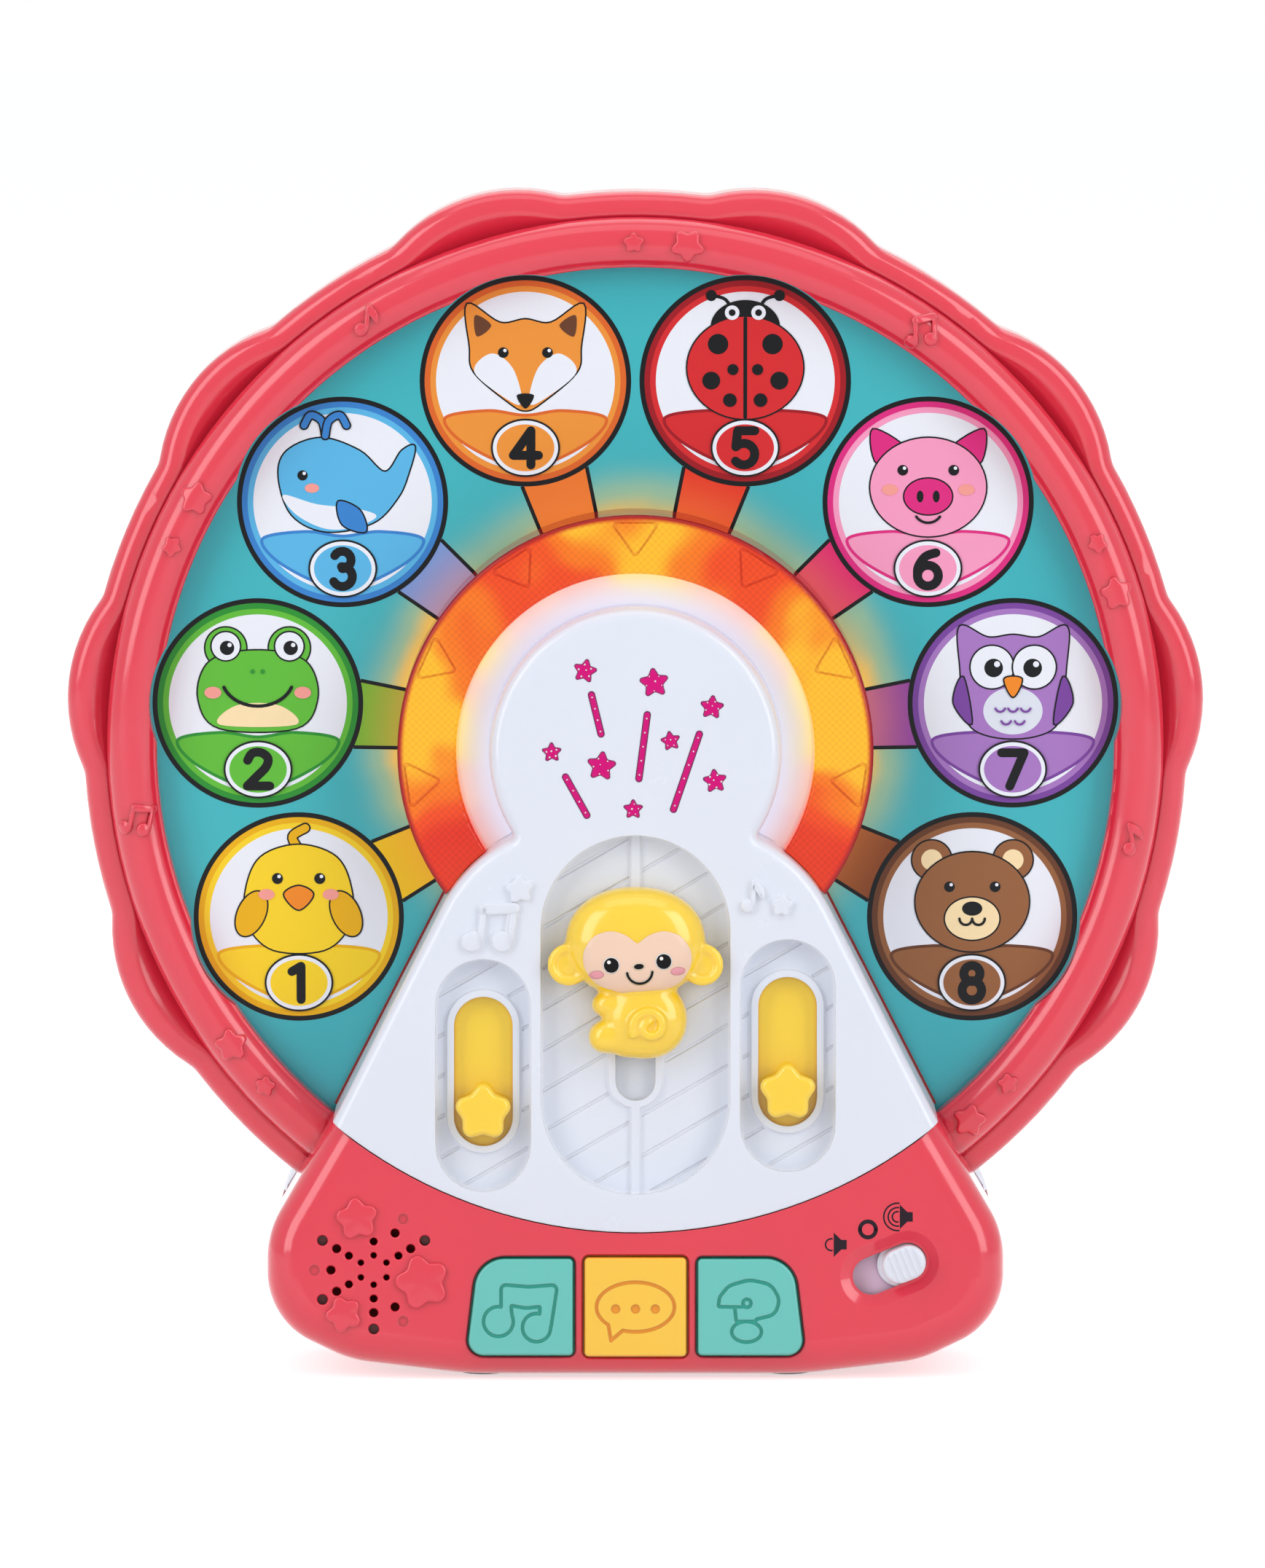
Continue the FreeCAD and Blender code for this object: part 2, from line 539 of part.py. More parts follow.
def make_bezel():
    axis = (Vector(0, 0, 0), Vector(0, 0, 1), 360)
    ring = bezel_profile().revolve(*axis)
    lifted = bezel_profile(s.relief_height).revolve(*axis)
    figures = []
    low, high = s.bezel_edge_height - 0.4, s.bezel_crest + 3
    star_first, star_step, star_pair, note_lead = -48.3, 66.2, 6.1, 37.9
    for number in range(5):
        heading = star_first + star_step * number
        spot = polar(s.relief_circle_radius, heading)
        figures.append(plate(star_outline(s.large_star, spot.x, spot.y, 80 + 23 * number), low, high))
        spot = polar(s.relief_circle_radius, heading + star_pair)
        figures.append(plate(star_outline(s.small_star, spot.x, spot.y, 100 + 31 * number), low, high))
        if number < 4:
            spot = polar(s.relief_circle_radius, heading + note_lead)
            figures.append(note_solid(0.86, low, high, spot.x, spot.y, 10 - 8 * number, number % 2 == 1))
    figures = [figure.common(lifted) for figure in figures]
    ring = ring.multiFuse(figures).removeSplitter()
    notches = []
    for number in range(int(s.badge_count)):
        spot = polar(s.badge_circle_radius, s.badge_first_angle + number * s.badge_step)
        room = s.badge_radius + s.badge_clearance
        notches.append(disc(room, s.panel_front - 1, s.bezel_crest + 3, spot.x, spot.y))
    free_form("bezel_ring", ring.cut(fused(notches)), "wheel")


def make_panel():
    back = "panel_front - panel_thickness"
    corners = [("panel_opening_radius", back), ("panel_radius", back), ("panel_radius", "panel_front"),
               ("panel_opening_radius", "panel_front")]
    disc_body = turned("panel_disc", corners, "wheel", keep=False)
    holes = []
    for number, (x, y) in enumerate(post_spots[:2]):
        holes.append(cylinder(f"panel_hole_{number}", "screw_radius + 0.2", back + " - 1", "panel_front + 1",
                              "wheel", str(x), str(y)))
    drilled("picture_panel", disc_body, holes)


# ---------------------------------------------------------------- light ring, halo, boards


def tower_outline(grow=0.0):
    """dome circle blended into a bell-shaped skirt, whose straight sides run on below its bottom arc"""
    shoulder = Vector(s.shoulder_half_width, -s.shoulder_drop, 0)
    run = (Vector(s.foot_half_width, -s.foot_drop, 0) - shoulder).normalize()
    outward = Vector(-run.y, run.x, 0)
    hub = shoulder - outward * s.shoulder_radius
    dome, round_off, blend = s.dome_radius + grow, s.shoulder_radius + grow, s.neck_blend - grow
    reach, span = s.dome_radius + s.neck_blend, s.shoulder_radius + s.neck_blend
    cosine = (reach ** 2 + hub.Length ** 2 - span ** 2) / (2 * reach * hub.Length)
    heading = math.degrees(math.atan2(hub.y, hub.x) + math.acos(cosine))
    blend_centre = polar(reach, heading)
    to_hub = (hub - blend_centre).normalize()
    to_dome = (-blend_centre).normalize()
    neck = polar(dome, heading)
    crook = blend_centre + to_hub * blend
    crook_middle = blend_centre + (to_hub + to_dome).normalize() * blend
    arc_start = (crook - hub).normalize()
    arc_middle = hub + (arc_start + outward).normalize() * round_off
    side = shoulder + outward * grow
    below = side + run * 100
    right = [Part.Arc(neck, crook_middle, crook), Part.Arc(crook, arc_middle, side),
             Part.LineSegment(side, below)]
    right = [curve.toShape() for curve in right]
    left = [edge.mirror(Vector(0, 0, 0), Vector(1, 0, 0)) for edge in right]
    crown = Part.Arc(neck, Vector(0, dome, 0), Vector(-neck.x, neck.y, 0)).toShape()
    base = Part.LineSegment(below, Vector(-below.x, below.y, 0)).toShape()
    return Part.Wire(Part.__sortEdges__(right + left + [base, crown]))


def tower_block(low, high, grow=0.0):
    """prism of the tower's plan, grown or shrunk all round"""
    return plate(tower_outline(grow), low, high)


def make_light_ring():
    top = s.light_front
    bottom = s.panel_front + s.light_lift
    ring = tube(s.light_outer_radius, s.light_inner_radius, bottom, top)
    crown = edges_where(ring, lambda point: abs(point.z - top) < 1e-6)
    ring = ring.makeFillet(1.2, crown)
    wall = s.light_wall
    ring = ring.cut(tube(s.light_outer_radius - wall, s.light_inner_radius + wall, bottom - 1, top - wall))
    grooves = []
    for number in range(int(s.triangle_count)):
        heading = 90 + (number - (s.triangle_count - 1) / 2) * s.triangle_step
        far = s.light_outer_radius - 1.4
        tips = [polar(far, heading - 6.4), polar(far, heading + 6.4),
                polar(s.light_inner_radius + 4.0, heading)]
        outer = plate(rounded_outline([(p.x, p.y, 1.0) for p in tips]), top - s.groove_depth, top + 1)
        centre = (tips[0] + tips[1] + tips[2]) / 3
        inner_tips = [centre + (p - centre) * 0.84 for p in tips]
        inner = rounded_outline([(p.x, p.y, 0.8) for p in inner_tips])
        inner = plate(inner, top - s.groove_depth - 1, top + 2)
        grooves.append(outer.cut(inner))
    ring = ring.cut(fused(grooves))
    ring = ring.cut(tower_block(bottom - 1, top + 1, s.tower_gap))
    strip_top = s.tower_back - 0.2
    strip = tower_block(bottom, strip_top, s.flange_overhang)
    strip = strip.cut(tower_block(bottom - 1, strip_top + 1, -3.0))
    strip = strip.common(disc(s.tower_bottom_radius, bottom, strip_top))
    strip = strip.cut(block(-60, 60, -28, 60, bottom - 1, strip_top + 1))
    free_form("light_ring", ring.fuse(strip).removeSplitter(), "wheel")


def halo_outer():
    return s.light_inner_radius - s.halo_outer_gap


def board_low():
    return s.panel_front - s.panel_thickness - 3.4


def board_spots():
    return [polar(52, 90 + 72 * number) for number in range(5)]


def make_halo():
    inner = s.dome_radius + s.halo_inner_gap
    foot = board_low() + s.board_thickness
    lid = tube(halo_outer(), inner, s.halo_front - s.halo_wall, s.halo_front)
    skirt = tube(halo_outer(), halo_outer() - s.halo_wall, foot, s.halo_front)
    ring = lid.fuse(skirt).removeSplitter()
    free_form("halo_ring", ring.cut(tower_block(foot - 1, s.halo_front + 1, s.halo_inner_gap)), "wheel")


def make_led_board():
    low = "panel_front - panel_thickness - 3.4"
    high = low + " + board_thickness"
    body = doc.addObject("Part::Cylinder", "led_board_disc")
    body.setExpression("Radius", bound("panel_opening_radius - 0.6"))
    body.setExpression("Height", bound("board_thickness"))
    place(body, "wheel", "0", "0", low)
    holes = []
    for number, (x, y) in enumerate(post_spots[2:]):
        holes.append(cylinder(f"led_board_hole_{number}", "boss_radius + 0.4", low + " - 1", high + " + 1",
                              "wheel", str(x), str(y)))
    drilled("led_board", body, holes)
    lamps = []
    for number in range(9):
        spot = polar(55, 90 + (number - 4) * 30)
        place_x, place_y = f"{spot.x:.3f}", f"{spot.y:.3f}"
        lamps.append(cylinder(f"ring_led_{number}", "2.5", high, high + " + 7", "wheel", place_x, place_y))
    lamps.append(cylinder("dome_led", "2.5", high, high + " + 7", "wheel"))
    group("lamps", lamps)


# ---------------------------------------------------------------- the white tower

star_spots = [(-13.2, 22.0, 3.4, 78), (4.9, 18.9, 4.2, 96), (20.0, 12.5, 3.4, 84), (9.2, 3.7, 2.8, 100),
              (-21.9, 0.7, 2.8, 92), (-8.9, -2.9, 4.2, 84), (20.8, -6.8, 3.4, 96), (-0.6, -14.2, 2.8, 90)]
ray_spots = [(-11.7, 16.6, -8.8, 4.7), (3.2, 11.4, 0.8, -7.0), (17.0, 6.3, 9.7, -15.0),
             (-18.7, -5.0, -12.3, -16.5)]
ray_half_width = 0.85
figure_gap = 0.12


def dome_figures(grow, low, high):
    """stars and rays of the dome, in the face frame"""
    figures = [plate(star_outline(radius + grow, x, y, turn), low, high) for x, y, radius, turn in star_spots]
    for x1, y1, x2, y2 in ray_spots:
        length = math.hypot(x2 - x1, y2 - y1)
        ray = plate(stadium(ray_half_width + grow, length / 2 + grow), low, high)
        ray.rotate(Vector(0, 0, 0), Vector(0, 0, 1), math.degrees(math.atan2(y2 - y1, x2 - x1)) - 90)
        ray.translate(Vector((x1 + x2) / 2, (y1 + y2) / 2, 0))
        figures.append(ray)
    return figures


def tracks():
    """centre and half sizes of the three ovals: (x, y, half width, half length)"""
    side = (s.side_track_half_width, s.side_track_half_length)
    return [(0.0, -s.centre_track_drop, s.centre_track_half_width, s.centre_track_half_length),
            (-s.side_track_spread, -s.left_track_drop, *side),
            (s.side_track_spread, -s.right_track_drop, *side)]


def slots():
    """through slots: (x, y, half width, half length)"""
    side = (s.side_slot_half_width, s.star_travel / 2 + s.star_radius + s.star_end_gap)
    stem_room = s.monkey_stem_radius + s.slot_gap
    return [(0.0, -s.monkey_drop - s.monkey_travel / 2, stem_room, s.monkey_travel / 2 + stem_room),
            (-s.side_track_spread, -s.left_track_drop + s.side_slot_rise, *side),
            (s.side_track_spread, -s.right_track_drop + s.side_slot_rise, *side)]


def hatching(track, slot, spine):
    """slanted grooves in the floor of a track, clear of the slot's border"""
    x, y, half_width, half_length = track
    floor = -s.track_depth
    rows = []
    row_count = int((2 * half_length + 2 * half_width) / s.hatch_pitch) + 1
    for number in range(row_count):
        groove = block(-40, 40, -s.hatch_width / 2, s.hatch_width / 2, floor - s.hatch_depth, floor + 1)
        groove.rotate(Vector(0, 0, 0), Vector(0, 0, 1), s.hatch_slope)
        groove.translate(Vector(x, y - half_length - half_width / 2 + number * s.hatch_pitch, 0))
        rows.append(groove)
    area = plate(stadium(half_width - 0.6, half_length - 0.6, x, y), floor - 2, floor + 2)
    border = s.border_width + 0.6
    keep_out = plate(stadium(slot[2] + border, slot[3] + border, slot[0], slot[1]), floor - 2, floor + 2)
    area = area.cut(keep_out)
    if spine:
        area = area.cut(block(-spine, spine, y - half_length, y + half_length, floor - 2, floor + 2))
    return Part.makeCompound(rows).common(area)


def make_tower():
    high = s.face_height + 30
    outer = rounded_front(tower_block(s.tower_back, high).common(below_face()), 0, s.tower_edge)
    outer = outer.common(disc(s.tower_bottom_radius, s.tower_back - 1, high))
    inner = tower_block(s.tower_back - 1, high, -s.tower_wall).common(below_face(-s.tower_wall))
    inner = inner.common(disc(s.tower_bottom_radius - s.tower_wall, s.tower_back - 2, high))
    floor_back = -s.track_depth - s.tower_wall
    wells = []
    for x, y, half_width, half_length in tracks():
        outline = stadium(half_width + s.tower_wall, half_length + s.tower_wall, x, y)
        wells.append(plate(outline, floor_back, 1))
    inner = inner.cut(leaned(fused(wells)))
    shell = outer.cut(inner)
    posts = []
    for x, y in post_spots:
        post = disc(s.boss_radius - 0.5, s.panel_front, high, x, y)
        posts.append(post.common(below_face(-s.tower_wall / 2)))
    for x in (-18, 18):
        for y in (-s.left_track_drop - 22, -s.left_track_drop + 22):
            posts.append(leaned(disc(2.4, slider_board_top(), floor_back + 0.5, x, y)))
    tools = []
    for index, (track, slot) in enumerate(zip(tracks(), slots())):
        tools.append(plate(stadium(track[2], track[3], track[0], track[1]), -s.track_depth, 1))
        tools.append(hatching(track, slot, s.spine_half_width + 0.5 if index == 0 else 0))
    raised, through = [], []
    for slot, track in zip(slots(), tracks()):
        ring = plate(stadium(slot[2] + s.border_width, slot[3] + s.border_width, slot[0], slot[1]),
                     -s.track_depth - 0.5, -s.track_depth + s.border_height)
        raised.append(ring)
        through.append(plate(stadium(slot[2], slot[3], slot[0], slot[1]), floor_back - 1, 1))
    x, y, half_width, half_length = tracks()[0]
    spine_high = -s.track_depth + s.border_height
    raised.append(block(-s.spine_half_width, s.spine_half_width, y - half_length - 0.5, y + half_length + 0.5,
                        -s.track_depth - 0.5, spine_high))
    figures = [plate(star_outline(4.0, -30.3, -35.2, 96), -1, s.relief_height),
               note_solid(1.15, -1, s.relief_height, -38.4, -44.6, -8, True),
               note_solid(0.8, -1, s.relief_height, 30.7, -36.9, -4, False),
               plate(star_outline(3.0, 38.4, -39.4, 84), -1, s.relief_height)]
    shell = shell.multiFuse(posts).cut(leaned(fused(tools)))
    shell = shell.multiFuse([leaned(shape) for shape in raised + figures])
    windows = dome_figures(figure_gap, -s.tower_wall - 1, 1)
    shell = shell.cut(leaned(Part.makeCompound(through + windows)))
    pilots = [disc(s.screw_radius - 0.1, s.panel_front - 1, 20, x, y) for x, y in post_spots]
    shell = shell.cut(fused(pilots + [leaned(room) for room in shutter_rooms()]))
    free_form("tower_cover", shell.removeSplitter(), "wheel")


def make_star_lens():
    back = -s.tower_wall - 0.15
    well_top = -s.centre_track_drop + s.centre_track_half_length + s.tower_wall
    lens = disc(30, back - 1.2, back).common(block(-40, 40, well_top + 0.5, 40, -10, 1))
    figures = dome_figures(0.0, back - 0.5, -0.15)
    free_form("star_lens", lens.multiFuse(figures).removeSplitter(), "face")


# ---------------------------------------------------------------- sliders

keeper_front = -s.track_depth - s.tower_wall - s.slider_gap
keeper_back = keeper_front - s.keeper_thickness


def slider_board_top():
    return keeper_back - s.wiper_room


def star_rest(side):
    """where a star slider rests: the low end of its slot"""
    slot = slots()[1 if side < 0 else 2]
    return slot[0], slot[1] - s.star_travel / 2


def shutter_room(side):
    """reach of a shutter: left or right half width and its low and high ends at rest"""
    slot = slots()[1 if side < 0 else 2]
    half = slot[2] + s.shutter_overlap
    low = slot[1] - slot[3] - s.star_travel - 1.0
    return slot[0], half, low, slot[1] + slot[3] + 1.0


def shutter_rooms():
    """clearance that the shutters need through the walls beside them"""
    rooms = []
    for side in (-1, 1):
        x, half, low, high = shutter_room(side)
        reach = half + 0.6
        rooms.append(block(x - reach, x + reach, low - 1.5, low + 25, keeper_back - 0.5, keeper_front + 0.25))
    return rooms


def make_star_slider(label, side):
    x, y = star_rest(side)
    foot = -s.track_depth + s.border_height + s.slider_gap
    outline = star_outline(s.star_radius, x, y, 90, waist=0.71, tip_round=0.3, waist_round=0.3)
    star = plate(outline, foot, s.star_front)
    crown = edges_where(star, lambda point: abs(point.z - s.star_front) < 1e-6)
    star = star.makeFillet(1.5, crown)
    star = star.fuse(disc(s.star_neck_radius, keeper_front, foot, x, y)).removeSplitter()
    free_form(f"{label}_star_knob", star, "face")
    x, half, low, high = shutter_room(side)
    corners = [(x - half, low, 2), (x + half, low, 2), (x + half, high, s.side_slot_half_width),
               (x - half, high, s.side_slot_half_width)]
    shutter = plate(rounded_outline(corners), keeper_back, keeper_front)
    free_form(f"{label}_shutter", shutter, "face")


def ellipsoid(x, y, z, rx, ry, rz):
    ball = Part.makeSphere(1.0)
    matrix = FreeCAD.Matrix()
    matrix.scale(rx, ry, rz)
    matrix.move(Vector(x, y, z))
    return ball.transformGeometry(matrix)


def make_monkey():
    floor = -s.track_depth + s.border_height + s.slider_gap
    front, middle = s.monkey_front, -s.monkey_drop
    room = block(-40, 40, middle - 60, middle + 60, floor, 30)
    head = ellipsoid(0, middle + 8.5, floor + 2, 18.4, 14.8, front - floor - 2)
    ears = [ellipsoid(side * 18.2, middle + 2.8, floor + 1, 5.4, 5.9, 5.6) for side in (-1, 1)]
    body = ellipsoid(1.6, middle - 12.0, floor + 1.5, 11.9, 10.4, front - floor - 4)
    arm = ellipsoid(-9.4, middle - 7.6, floor + 1, 3.2, 3.6, 5.4)
    leg = ellipsoid(-9.6, middle - 16.4, floor + 1, 3.6, 3.4, 5.4)
    curl = Part.makeTorus(4.2, 1.2, Vector(4.0, middle - 12.4, front - 4.6), Vector(0, 0, 1))
    whole = head.multiFuse(ears + [body, arm, leg, curl]).common(room)
    stem = disc(s.monkey_stem_radius, keeper_front, floor + 1, 0, middle)
    pilot = disc(1.2, keeper_front - 1, 3, 0, middle)
    free_form("monkey_knob", whole.fuse(stem).cut(pilot), "face")
    face_low = front - 2.2
    cheeks = [ellipsoid(x, middle + 2.6, face_low, 7.6, 6.4, 3.0) for x in (-6.4, 6.6)]
    face = cheeks[0].fuse(cheeks[1])
    grown = ellipsoid(0, middle + 8.5, floor + 2, 18.9, 15.3, front - floor - 1.6)
    face = face.fuse(ellipsoid(0, middle + 0.2, face_low, 12.4, 6.0, 3.0)).common(grown).cut(whole)
    biggest = max(face.Solids, key=lambda solid: solid.Volume)
    free_form("monkey_face", biggest, "face")
    make_monkey_keeper(middle)


def make_monkey_keeper(middle):
    """plate behind the centre slot, long enough to close it from one end of the travel to the other"""
    x, y, half_width, half_length = slots()[0]
    low = y - half_length - s.shutter_overlap
    high = y + half_length + s.monkey_travel + s.shutter_overlap
    corners = [(a * s.keeper_half_width, b, 2) for a, b in ((-1, low), (1, low), (1, high), (-1, high))]
    keeper = plate(rounded_outline(corners), keeper_back, keeper_front)
    hole = disc(1.6, keeper_back - 1, keeper_front + 1, 0, middle)
    free_form("monkey_keeper", keeper.cut(hole), "face")
    screw = disc(2.6, keeper_back - 1.6, keeper_back, 0, middle)
    free_form("monkey_screw", screw.fuse(disc(1.15, keeper_back, 2, 0, middle)), "face")


# ---------------------------------------------------------------- base


def base_outline(inset=0.0, top_half_width=None, top_drop=None, top_corner=0.0, widen=0.0):
    """front view of the base: sloping shoulders, round lower corners, flat bottom"""
    half = s.base_half_width + widen
    slope = s.shoulder_slope
    if top_drop is None:
        top_drop = s.base_top_drop - 25
        top_half_width = s.base_top_half_width - 25 * slope
    side = [(top_half_width, -top_drop, top_corner), (half, -s.base_hip_drop, 24),
            (half, -s.base_bottom + 14, 20), (half - 21.9, -s.base_bottom + 3.6, 30),
            (half - 52.5, -s.base_bottom, 100)]
    corners = side + [(-x, y, radius) for x, y, radius in reversed(side)]
    outline = rounded_outline(corners)
    return outline.makeOffset2D(-inset) if inset else outline


def passage():
    """room that the turning rim and the fixed wheel housing take out of the base"""
    rim_room = s.rim_half_width + s.rim_end_gap + 0.4
    wheel_room = disc(s.rim_passage_radius, -rim_room, rim_room)
    front_room = disc(s.bezel_outer_radius + 0.4, -1, s.bezel_crest + s.relief_height + 0.3)
    back_room = disc(s.bezel_outer_radius + 0.4, -s.back_depth - 0.2, 1)
    return wheel_room.multiFuse([front_room, back_room])


def window(grow=0.0):
    """outlines of the three buttons"""
    left, right = s.button_spread - 14.0, s.button_spread + 14.0
    top, bottom = -s.button_drop + s.button_half_height, -s.button_drop - s.button_half_height
    music = [(-left + grow, top + grow, 1.2 + grow), (-left + grow, bottom - grow, 1.2 + grow),
             (-right - grow, bottom - grow, 4 + grow), (-right + 3.1 - grow, top + grow, 8 + grow)]
    speech_half = 13.4
    speech = [(a * (speech_half + grow), -s.button_drop + b * (s.button_half_height + 0.3 + grow), 1.2 + grow)
              for a, b in ((1, 1), (1, -1), (-1, -1), (-1, 1))]
    question = [(-x, y, radius) for x, y, radius in music]
    return {"music": music, "speech": speech, "question": question}


def switch_shape(half_length, half_width, low, high, shift=0.0):
    """oval along the tilted switch slot"""
    oval = plate(stadium(half_width, half_length), low, high)
    oval.translate(Vector(0, shift, 0))
    oval.rotate(Vector(0, 0, 0), Vector(0, 0, 1), s.switch_angle - 90)
    oval.translate(Vector(s.switch_spread, -s.switch_drop, 0))
    return oval


def switch_dish():
    """sloping hollow round the switch slot"""
    depth, slope = 1.2, 2.2
    half_length, half_width = s.knob_half_length + s.switch_travel / 2 + 0.9, s.knob_half_width + 1.1
    wires = []
    for level in (-depth, 0.4):
        run = slope * (level + depth)
        wire = stadium(half_width + run, half_length + run)
        wire.rotate(Vector(0, 0, 0), Vector(0, 0, 1), s.switch_angle - 90)
        wire.translate(Vector(s.switch_spread, -s.switch_drop, level))
        wires.append(wire)
    return Part.makeLoft(wires, True, True)


def grille_holes():
    """through holes and blind dimples of the speaker grille: (radius, x, y)"""
    ring_radii = [3.87, 7.5, 11.2, 15.5]
    hole_radii = [0.8, 1.0, 1.15, 1.36]
    rays = {30: 4, 90: 2, 150: 4, 210: 4, 270: 4, 330: 1}
    through = []
    for angle, count in rays.items():
        for ring in range(count):
            spot = polar(ring_radii[ring], angle)
            through.append((hole_radii[ring], spot.x - s.speaker_spread, spot.y - s.speaker_drop))
    blind = []
    for angle in (60, 180, 300):
        spot = polar(ring_radii[2], angle)
        through.append((hole_radii[2], spot.x - s.speaker_spread, spot.y - s.speaker_drop))
        spot = polar(ring_radii[3], angle)
        blind.append((hole_radii[3], spot.x - s.speaker_spread, spot.y - s.speaker_drop))
    return through, blind


corner_bosses = [(side * (s.base_half_width - s.corner_boss_inset), -s.base_bottom + s.corner_boss_rise)
                 for side in (-1, 1)]


def on_window_sill(point):
    """whether a point of the base is on the front edge of a button's window"""
    spot = lean.inverse().multVec(point)
    in_row = abs(spot.x) < s.button_spread + 16 and abs(spot.y + s.button_drop) < s.button_half_height + 1.5
    return abs(spot.z) < 1e-4 and in_row


def make_base_front():
    wall = s.base_front_wall
    high = s.face_height + 40
    outer = plate(base_outline(), -s.parting, high).common(below_face())
    outer = rounded_front(outer, 0, s.base_edge)
    inner = plate(base_outline(wall), -s.parting - 1, high).common(below_face(-wall))
    inner = rounded_front(inner, -wall, s.base_edge - wall)
    arc = s.tower_bottom_radius + s.tower_gap
    outer = outer.cut(disc(arc, -60, high + 10))
    inner = inner.cut(disc(arc + wall, -60, high + 10))
    shell = outer.cut(inner)
    within = plate(base_outline(wall / 2), -s.parting, high).common(below_face(-wall / 2))
    within = rounded_front(within, -wall / 2, s.base_edge - wall / 2)
    bosses = [disc(s.corner_boss_radius, -s.parting, high, x, y).common(within) for x, y in corner_bosses]
    shell = shell.multiFuse(bosses).cut(passage())
    stars = [(-4.3, 13.5, 6.3, 98), (12.8, -3.1, 8.1, 106), (-7.8, -11.5, 5.4, 112)]
    raised = []
    for across, rise, radius, turn in stars:
        x, y = across - s.speaker_spread, rise - s.speaker_drop
        outline = star_outline(radius, x, y, turn, waist=0.63, tip_round=0.27, waist_round=0.16)
        star = plate(outline, -1, s.relief_height)
        crown = edges_where(star, lambda point: abs(point.z - s.relief_height) < 1e-6)
        raised.append(star.makeFillet(0.6, crown))
    board_top = -s.button_depth - s.dome_height
    posts = []
    for side in (-1, 1):
        for rise in (-1, 1):
            x, y = side * (s.board_half_width - 2.1), -s.button_drop + rise * (s.board_half_height - 3)
            posts.append(disc(2.0, board_top, -wall / 2, x, y))
    shell = shell.cut(leaned(switch_dish())).multiFuse([leaned(shape) for shape in raised + posts])
    through, blind = grille_holes()
    tools = [disc(radius, -wall - 1, 1, x, y) for radius, x, y in through]
    tools += [Part.makeCone(radius, radius + 0.4, 0.4, Vector(x, y, -0.3)) for radius, x, y in through]
    tools += [disc(radius, -0.7, 1, x, y) for radius, x, y in blind]
    tools += [plate(rounded_outline(corners), -wall - 1, 1) for corners in window(s.button_gap).values()]
    slot_half_length = s.knob_half_length + s.switch_travel / 2 + 0.2
    tools.append(switch_shape(slot_half_length, s.knob_half_width + 0.4, -wall - 2, 1))
    well_back = -s.button_depth - s.button_travel - 1
    flange_room = s.button_flange + s.button_gap
    tools += [plate(rounded_outline(corners), well_back, -wall) for corners in window(flange_room).values()]
    shell = shell.cut(leaned(fused(tools + shutter_rooms())))
    sills = edges_where(shell, on_window_sill)
    shell = shell.makeFillet(0.6, sills)
    pilots = [disc(s.screw_radius - 0.1, -s.parting - 1, 18, x, y) for x, y in corner_bosses]
    free_form("base_front_cover", shell.cut(fused(pilots)).removeSplitter(), "wheel")


def rear_outline(inset=0.0):
    return base_outline(inset, s.rear_top_half_width, s.rear_top_drop, 16, s.rear_overhang)


def make_base_rear():
    wall = s.cover_wall
    front = -s.parting - 0.05
    outer = plate(rear_outline(), -s.base_back, front)
    back_edges = edges_where(outer, lambda point: abs(point.z + s.base_back) < 1e-6)
    outer = outer.makeFillet(s.rear_edge, back_edges)
    inner = plate(rear_outline(wall), -s.base_back + wall, front + 1)
    back_edges = edges_where(inner, lambda point: abs(point.z + s.base_back - wall) < 1e-6)
    inner = inner.makeFillet(s.rear_edge - wall, back_edges)
    shell = outer.cut(inner)
    bay_front = -s.base_back + 22
    half_width, half_height = s.door_half_width, s.door_half_height
    bay = block(-half_width - wall, half_width + wall, -s.cell_drop - half_height - wall,
                -s.cell_drop + half_height + wall, -s.base_back + 1, bay_front)
    cell_room = s.cell_pitch + s.cell_radius + 0.5
    bay_room = block(-half_width + 2, half_width - 2, -s.cell_drop - cell_room, -s.cell_drop + cell_room,
                     -s.base_back - 1, bay_front - wall)
    door_back = -s.base_back + s.door_thickness + 0.1
    door_room = block(-half_width - 0.3, half_width + 0.3, -s.cell_drop - half_height - 0.3,
                      -s.cell_drop + half_height + 0.3, -s.base_back - 1, door_back)
    within = plate(rear_outline(wall / 2), -s.base_back + wall / 2, front)
    back_edges = edges_where(within, lambda point: abs(point.z + s.base_back - wall / 2) < 1e-6)
    within = within.makeFillet(s.rear_edge - wall / 2, back_edges)
    bosses = [disc(s.boss_radius + 0.4, -s.base_back, front, x, y).common(within) for x, y in corner_bosses]
    shell = shell.multiFuse([bay] + bosses).cut(fused([bay_room, door_room]))
    tools = [passage()]
    for x, y in corner_bosses:
        tools.append(disc(s.screw_radius + 0.2, -s.base_back - 1, 1, x, y))
        tools.append(disc(s.screw_head_radius + 0.4, -s.base_back - 1, -14, x, y))
    door_x, door_y = door_screw_spot()
    tools.append(disc(1.3, -s.base_back, bay_front - wall - 1, door_x, door_y))
    free_form("base_rear_cover", shell.cut(fused(tools)).removeSplitter(), "wheel")
    screws = []
    for x, y in corner_bosses:
        head = disc(s.screw_head_radius, -14 - s.screw_head_height, -14, x, y)
        screws.append(head.fuse(disc(s.screw_radius - 0.2, -14, 14, x, y)))
    free_form("base_screws", Part.makeCompound(screws), "wheel")


